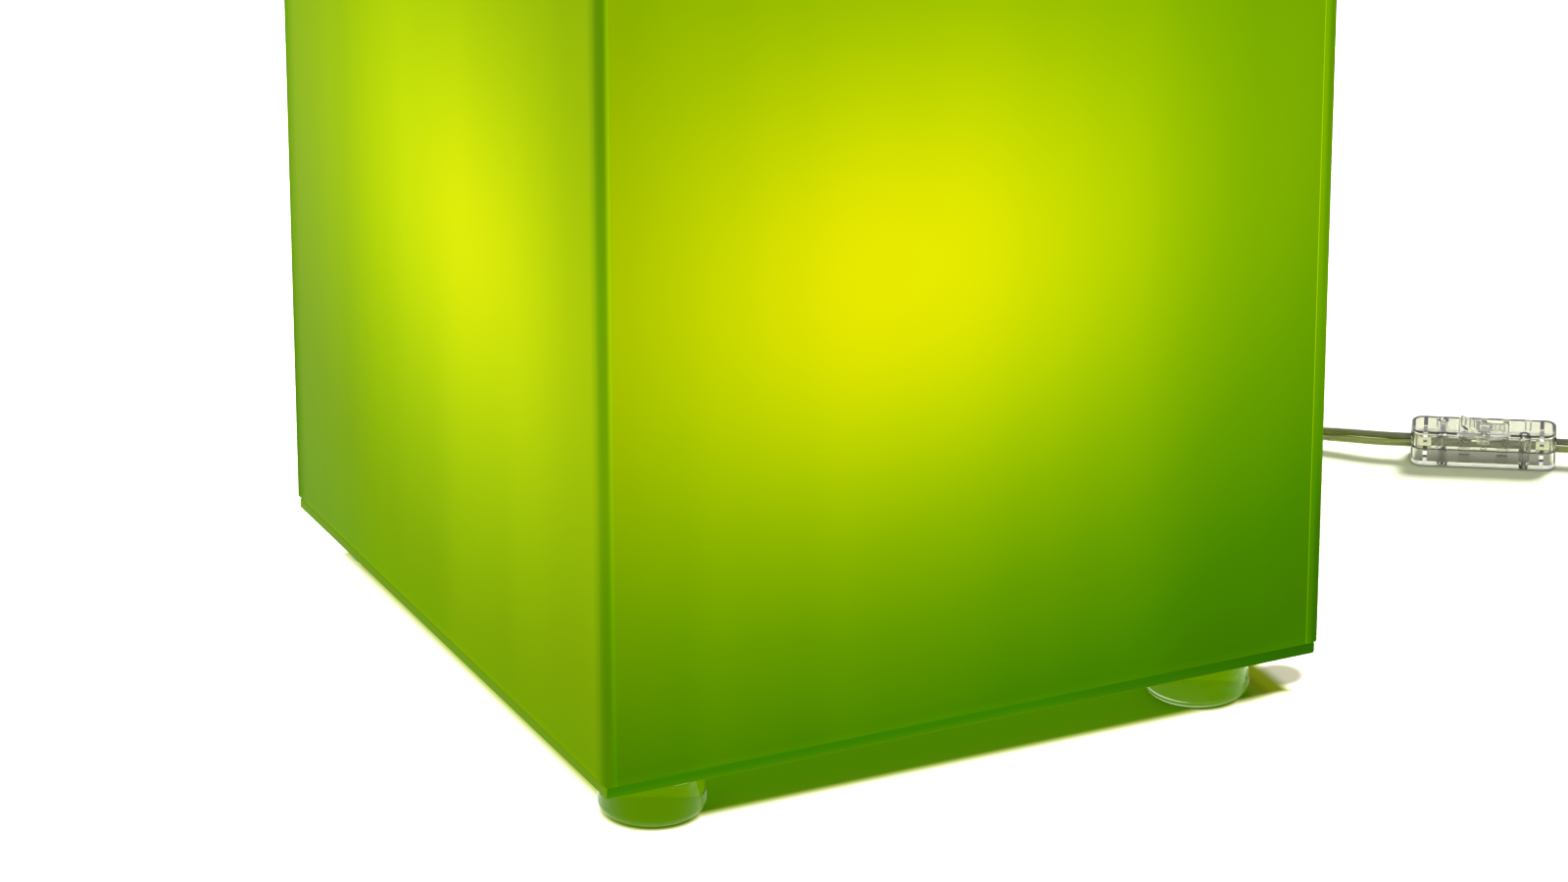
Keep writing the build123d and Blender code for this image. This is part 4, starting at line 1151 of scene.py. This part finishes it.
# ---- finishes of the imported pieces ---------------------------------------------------
FINISHES: dict[str, Finish] = {
    # float glass, green through its depth: darker where light leaves it edge-on
    "green_plate_glass": PlateGlass(
        "green_float_glass", "#0c1d00", "#0f2200", patch=40.0, roughness=(0.1, 0.16),
        relief=0.002, specular=0.005),
    # cast acrylic, flame polished: clear with a faint green tint, and a hard gloss tinted dark
    # green, a painted reflection of the lamp's green light
    "clear_acrylic": Finish(
        "cast_clear_acrylic", "#c4d5b4", "#bfd0ae", roughness=(0.02, 0.05), relief=0.002,
        ior=1.49, gloss="#2f4a10", transmission=1.0),
    # soft PVC, extruded: clear with a faint grey cast and a soft sheen
    "clear_pvc_jacket": Finish(
        "extruded_clear_pvc", "#dfe0c8", "#e6e7d2", roughness=(0.04, 0.1), relief=0.004,
        ior=1.53, transmission=1.0),
    # the same PVC, moulded thicker: milky where it is deep
    "clear_pvc_moulding": Finish(
        "moulded_clear_pvc", "#c4c6ba", "#cfd1c6", roughness=(0.2, 0.32), relief=0.008,
        ior=1.53, alpha=0.62),
    # polycarbonate, injection moulded: clear, grey at its edges
    "clear_polycarbonate": Finish(
        "moulded_clear_polycarbonate", "#eaeae3", "#e2e3da", roughness=(0.05, 0.12), relief=0.003,
        ior=1.58, transmission=1.0),
    # PVC insulation over copper: dull olive
    "olive_core_insulation": Finish(
        "olive_pvc_insulation", "#777c48", "#7f8550", patch=3.0, roughness=(0.35, 0.5),
        relief=0.01),
    # zinc-plated turned steel
    "zinc_plated_steel": Finish(
        "turned_zinc_plated_steel", "#c3c5c8", "#b4b7bb", patch=3.0, roughness=(0.22, 0.36),
        metallic=1.0, grain=0.3, relief=0.004, stretch=(1.0, 1.0, 6.0)),
    # nickel-plated turned brass
    "nickel_plated_brass": Finish(
        "turned_nickel_plated_brass", "#cfcbc0", "#c4bfb2", patch=3.0, roughness=(0.12, 0.22),
        metallic=1.0, grain=0.3, relief=0.002),
    # drawn brass
    "yellow_brass": Finish(
        "drawn_yellow_brass", "#d8b568", "#cda757", patch=4.0, roughness=(0.2, 0.34),
        metallic=1.0, grain=0.4, relief=0.004),
    # powder coat on spun steel: fine orange peel
    "white_powder_coat": Finish(
        "powder_coated_steel", "#ecebe6", "#e7e6e0", roughness=(0.34, 0.44), grain=0.9,
        relief=0.03),
    # urea moulding: white, hard, half gloss
    "white_moulding": Finish(
        "white_urea_moulding", "#efeee8", "#eae8e1", roughness=(0.22, 0.3), grain=0.5,
        relief=0.006),
    # pressed steatite, unglazed: chalky
    "steatite": Finish(
        "pressed_steatite", "#e2dccd", "#d8d0be", patch=4.0, roughness=(0.6, 0.75), grain=0.3,
        relief=0.03),
    # rolled aluminium
    "pressed_aluminium": Finish(
        "rolled_aluminium", "#dcddde", "#cfd1d3", patch=4.0, roughness=(0.2, 0.32),
        metallic=1.0, grain=0.25, relief=0.004, stretch=(1.0, 1.0, 8.0)),
    # black glass bead of a lamp cap
    "black_vitrite": Finish(
        "black_vitrite_glass", "#111111", "#161616", roughness=(0.06, 0.12), relief=0.004,
        ior=1.52),
    # opal polycarbonate, lit from inside
    "opal_globe": Glowing(
        "opal_polycarbonate", "#aaa596", "#a49f90", roughness=(0.35, 0.45), relief=0.004,
        glow="#fff0cf", strength=0.62),
    # solder mask over aluminium
    "white_circuit_board": Finish(
        "white_solder_mask", "#f0f0ec", "#e8e8e3", roughness=(0.3, 0.4), relief=0.01),
    # phosphor gel over the chips
    "led_phosphor": Glowing(
        "yellow_phosphor_gel", "#ead56a", "#e2ca58", patch=1.0, roughness=(0.25, 0.4), relief=0.01,
        glow="#fff2cf", strength=2.0),
    # woven hook-and-loop strap: fuzzy
    "white_strap": Finish(
        "woven_nylon_strap", "#e6e5df", "#cfcec6", patch=0.8, roughness=(0.8, 0.95),
        grain=0.35, relief=0.15),
    # nylon sleeves on the pins: matt black
    "black_pin_sleeve": Finish(
        "black_nylon", "#1a1a1a", "#202020", roughness=(0.45, 0.6), relief=0.01),
}


# float glass, acid etched outside: satin, so nothing is mirrored in it
SATIN = dict(
    colour="#0c1d00", second="#0f2200", patch=40.0, roughness=(0.5, 0.62), grain=0.5,
    relief=0.01, specular=0.002,
)


class Pane(Enum):
    """The bonnet's panes, each with the bulb's spot on it."""

    FRONT = Glow("x", "z", (-21.7, 167.3), (146.7, 124.7), 0.80, 0.21, (-0.034, 0.101))
    LEFT = Glow(
        "y", "z", (-23.6, 162.8), (128.8, 108.8), 0.486, 0.462, (0.0, 0.045), ramp=ASLANT_RAMP
    )
    REAR = Glow("x", "z", (-12.0, 165.0), (140.0, 120.0), 0.66, 0.33, (-0.02, 0.07))
    RIGHT = Glow("y", "z", (-18.0, 165.0), (138.0, 118.0), 0.66, 0.33, (-0.02, 0.07))
    TOP = Glow("x", "y", (-18.0, -18.0), (135.0, 135.0), 0.70, 0.27, (-0.02, -0.02))

    def dress(self) -> None:
        """Give this pane its glass."""
        name = self.name.lower()
        look = {**SATIN, **PANE_EDGES.get(self.name, {})}
        glass = SatinGlass(f"etched_green_glass_{name}", glow=self.value, **look)
        paint(f"pane_{name}", glass.make())


# what the camera sees of the panes' edges, and of the light across their width, and the left
# pane's painted reflection
PANE_EDGES: dict[str, dict] = {
    "FRONT": dict(
        lean=((1.02, 0.955, 1.0), (0.985, 1.045, 1.0)), seam=(98.0, 121.0),
        seam_light=(1.13, 1.04),
    ),
    "LEFT": dict(
        lean=((1.0, 0.99, 1.0), (1.05, 1.09, 1.0)), lean_ends=(-120.0, 40.0), painted_reflection=0.12,
        arris=(116.5, 124.5), end_glow=Pane.FRONT.value,
    ),
    "RIGHT": dict(
        seam_light=(1.20, 1.20), end_glow=Pane.FRONT.value,
        arris_ramp=(
            (0.10, "#2f6600"),
            (0.21, "#3c6e00"),
            (0.29, "#528700"),
            (0.45, "#649600"),
            (0.70, "#5e8c00"),
        ),
    ),
}


def paint(node: str, material: Material) -> None:
    """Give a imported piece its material.

    Args:
        node: The piece.
        material: Its material.
    """
    mesh = frame["nodes"][node].data
    mesh.materials.clear()
    mesh.materials.append(material)
    LOG.info("%s: %s", node, material.name)


def main() -> None:
    """Set the studio, draw the cord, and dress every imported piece."""
    logging.basicConfig(level=logging.INFO, format="%(name)s %(message)s")
    Studio().build()
    finishes = {slot: finish.make() for slot, finish in FINISHES.items()}
    Flex().build(finishes)
    for pane in Pane:
        pane.dress()
    for row in frame["record"]["subparts"]:
        if row["material_slot"] in finishes:
            paint(row["node"], finishes[row["material_slot"]])


if __name__ == "__main__":
    main()
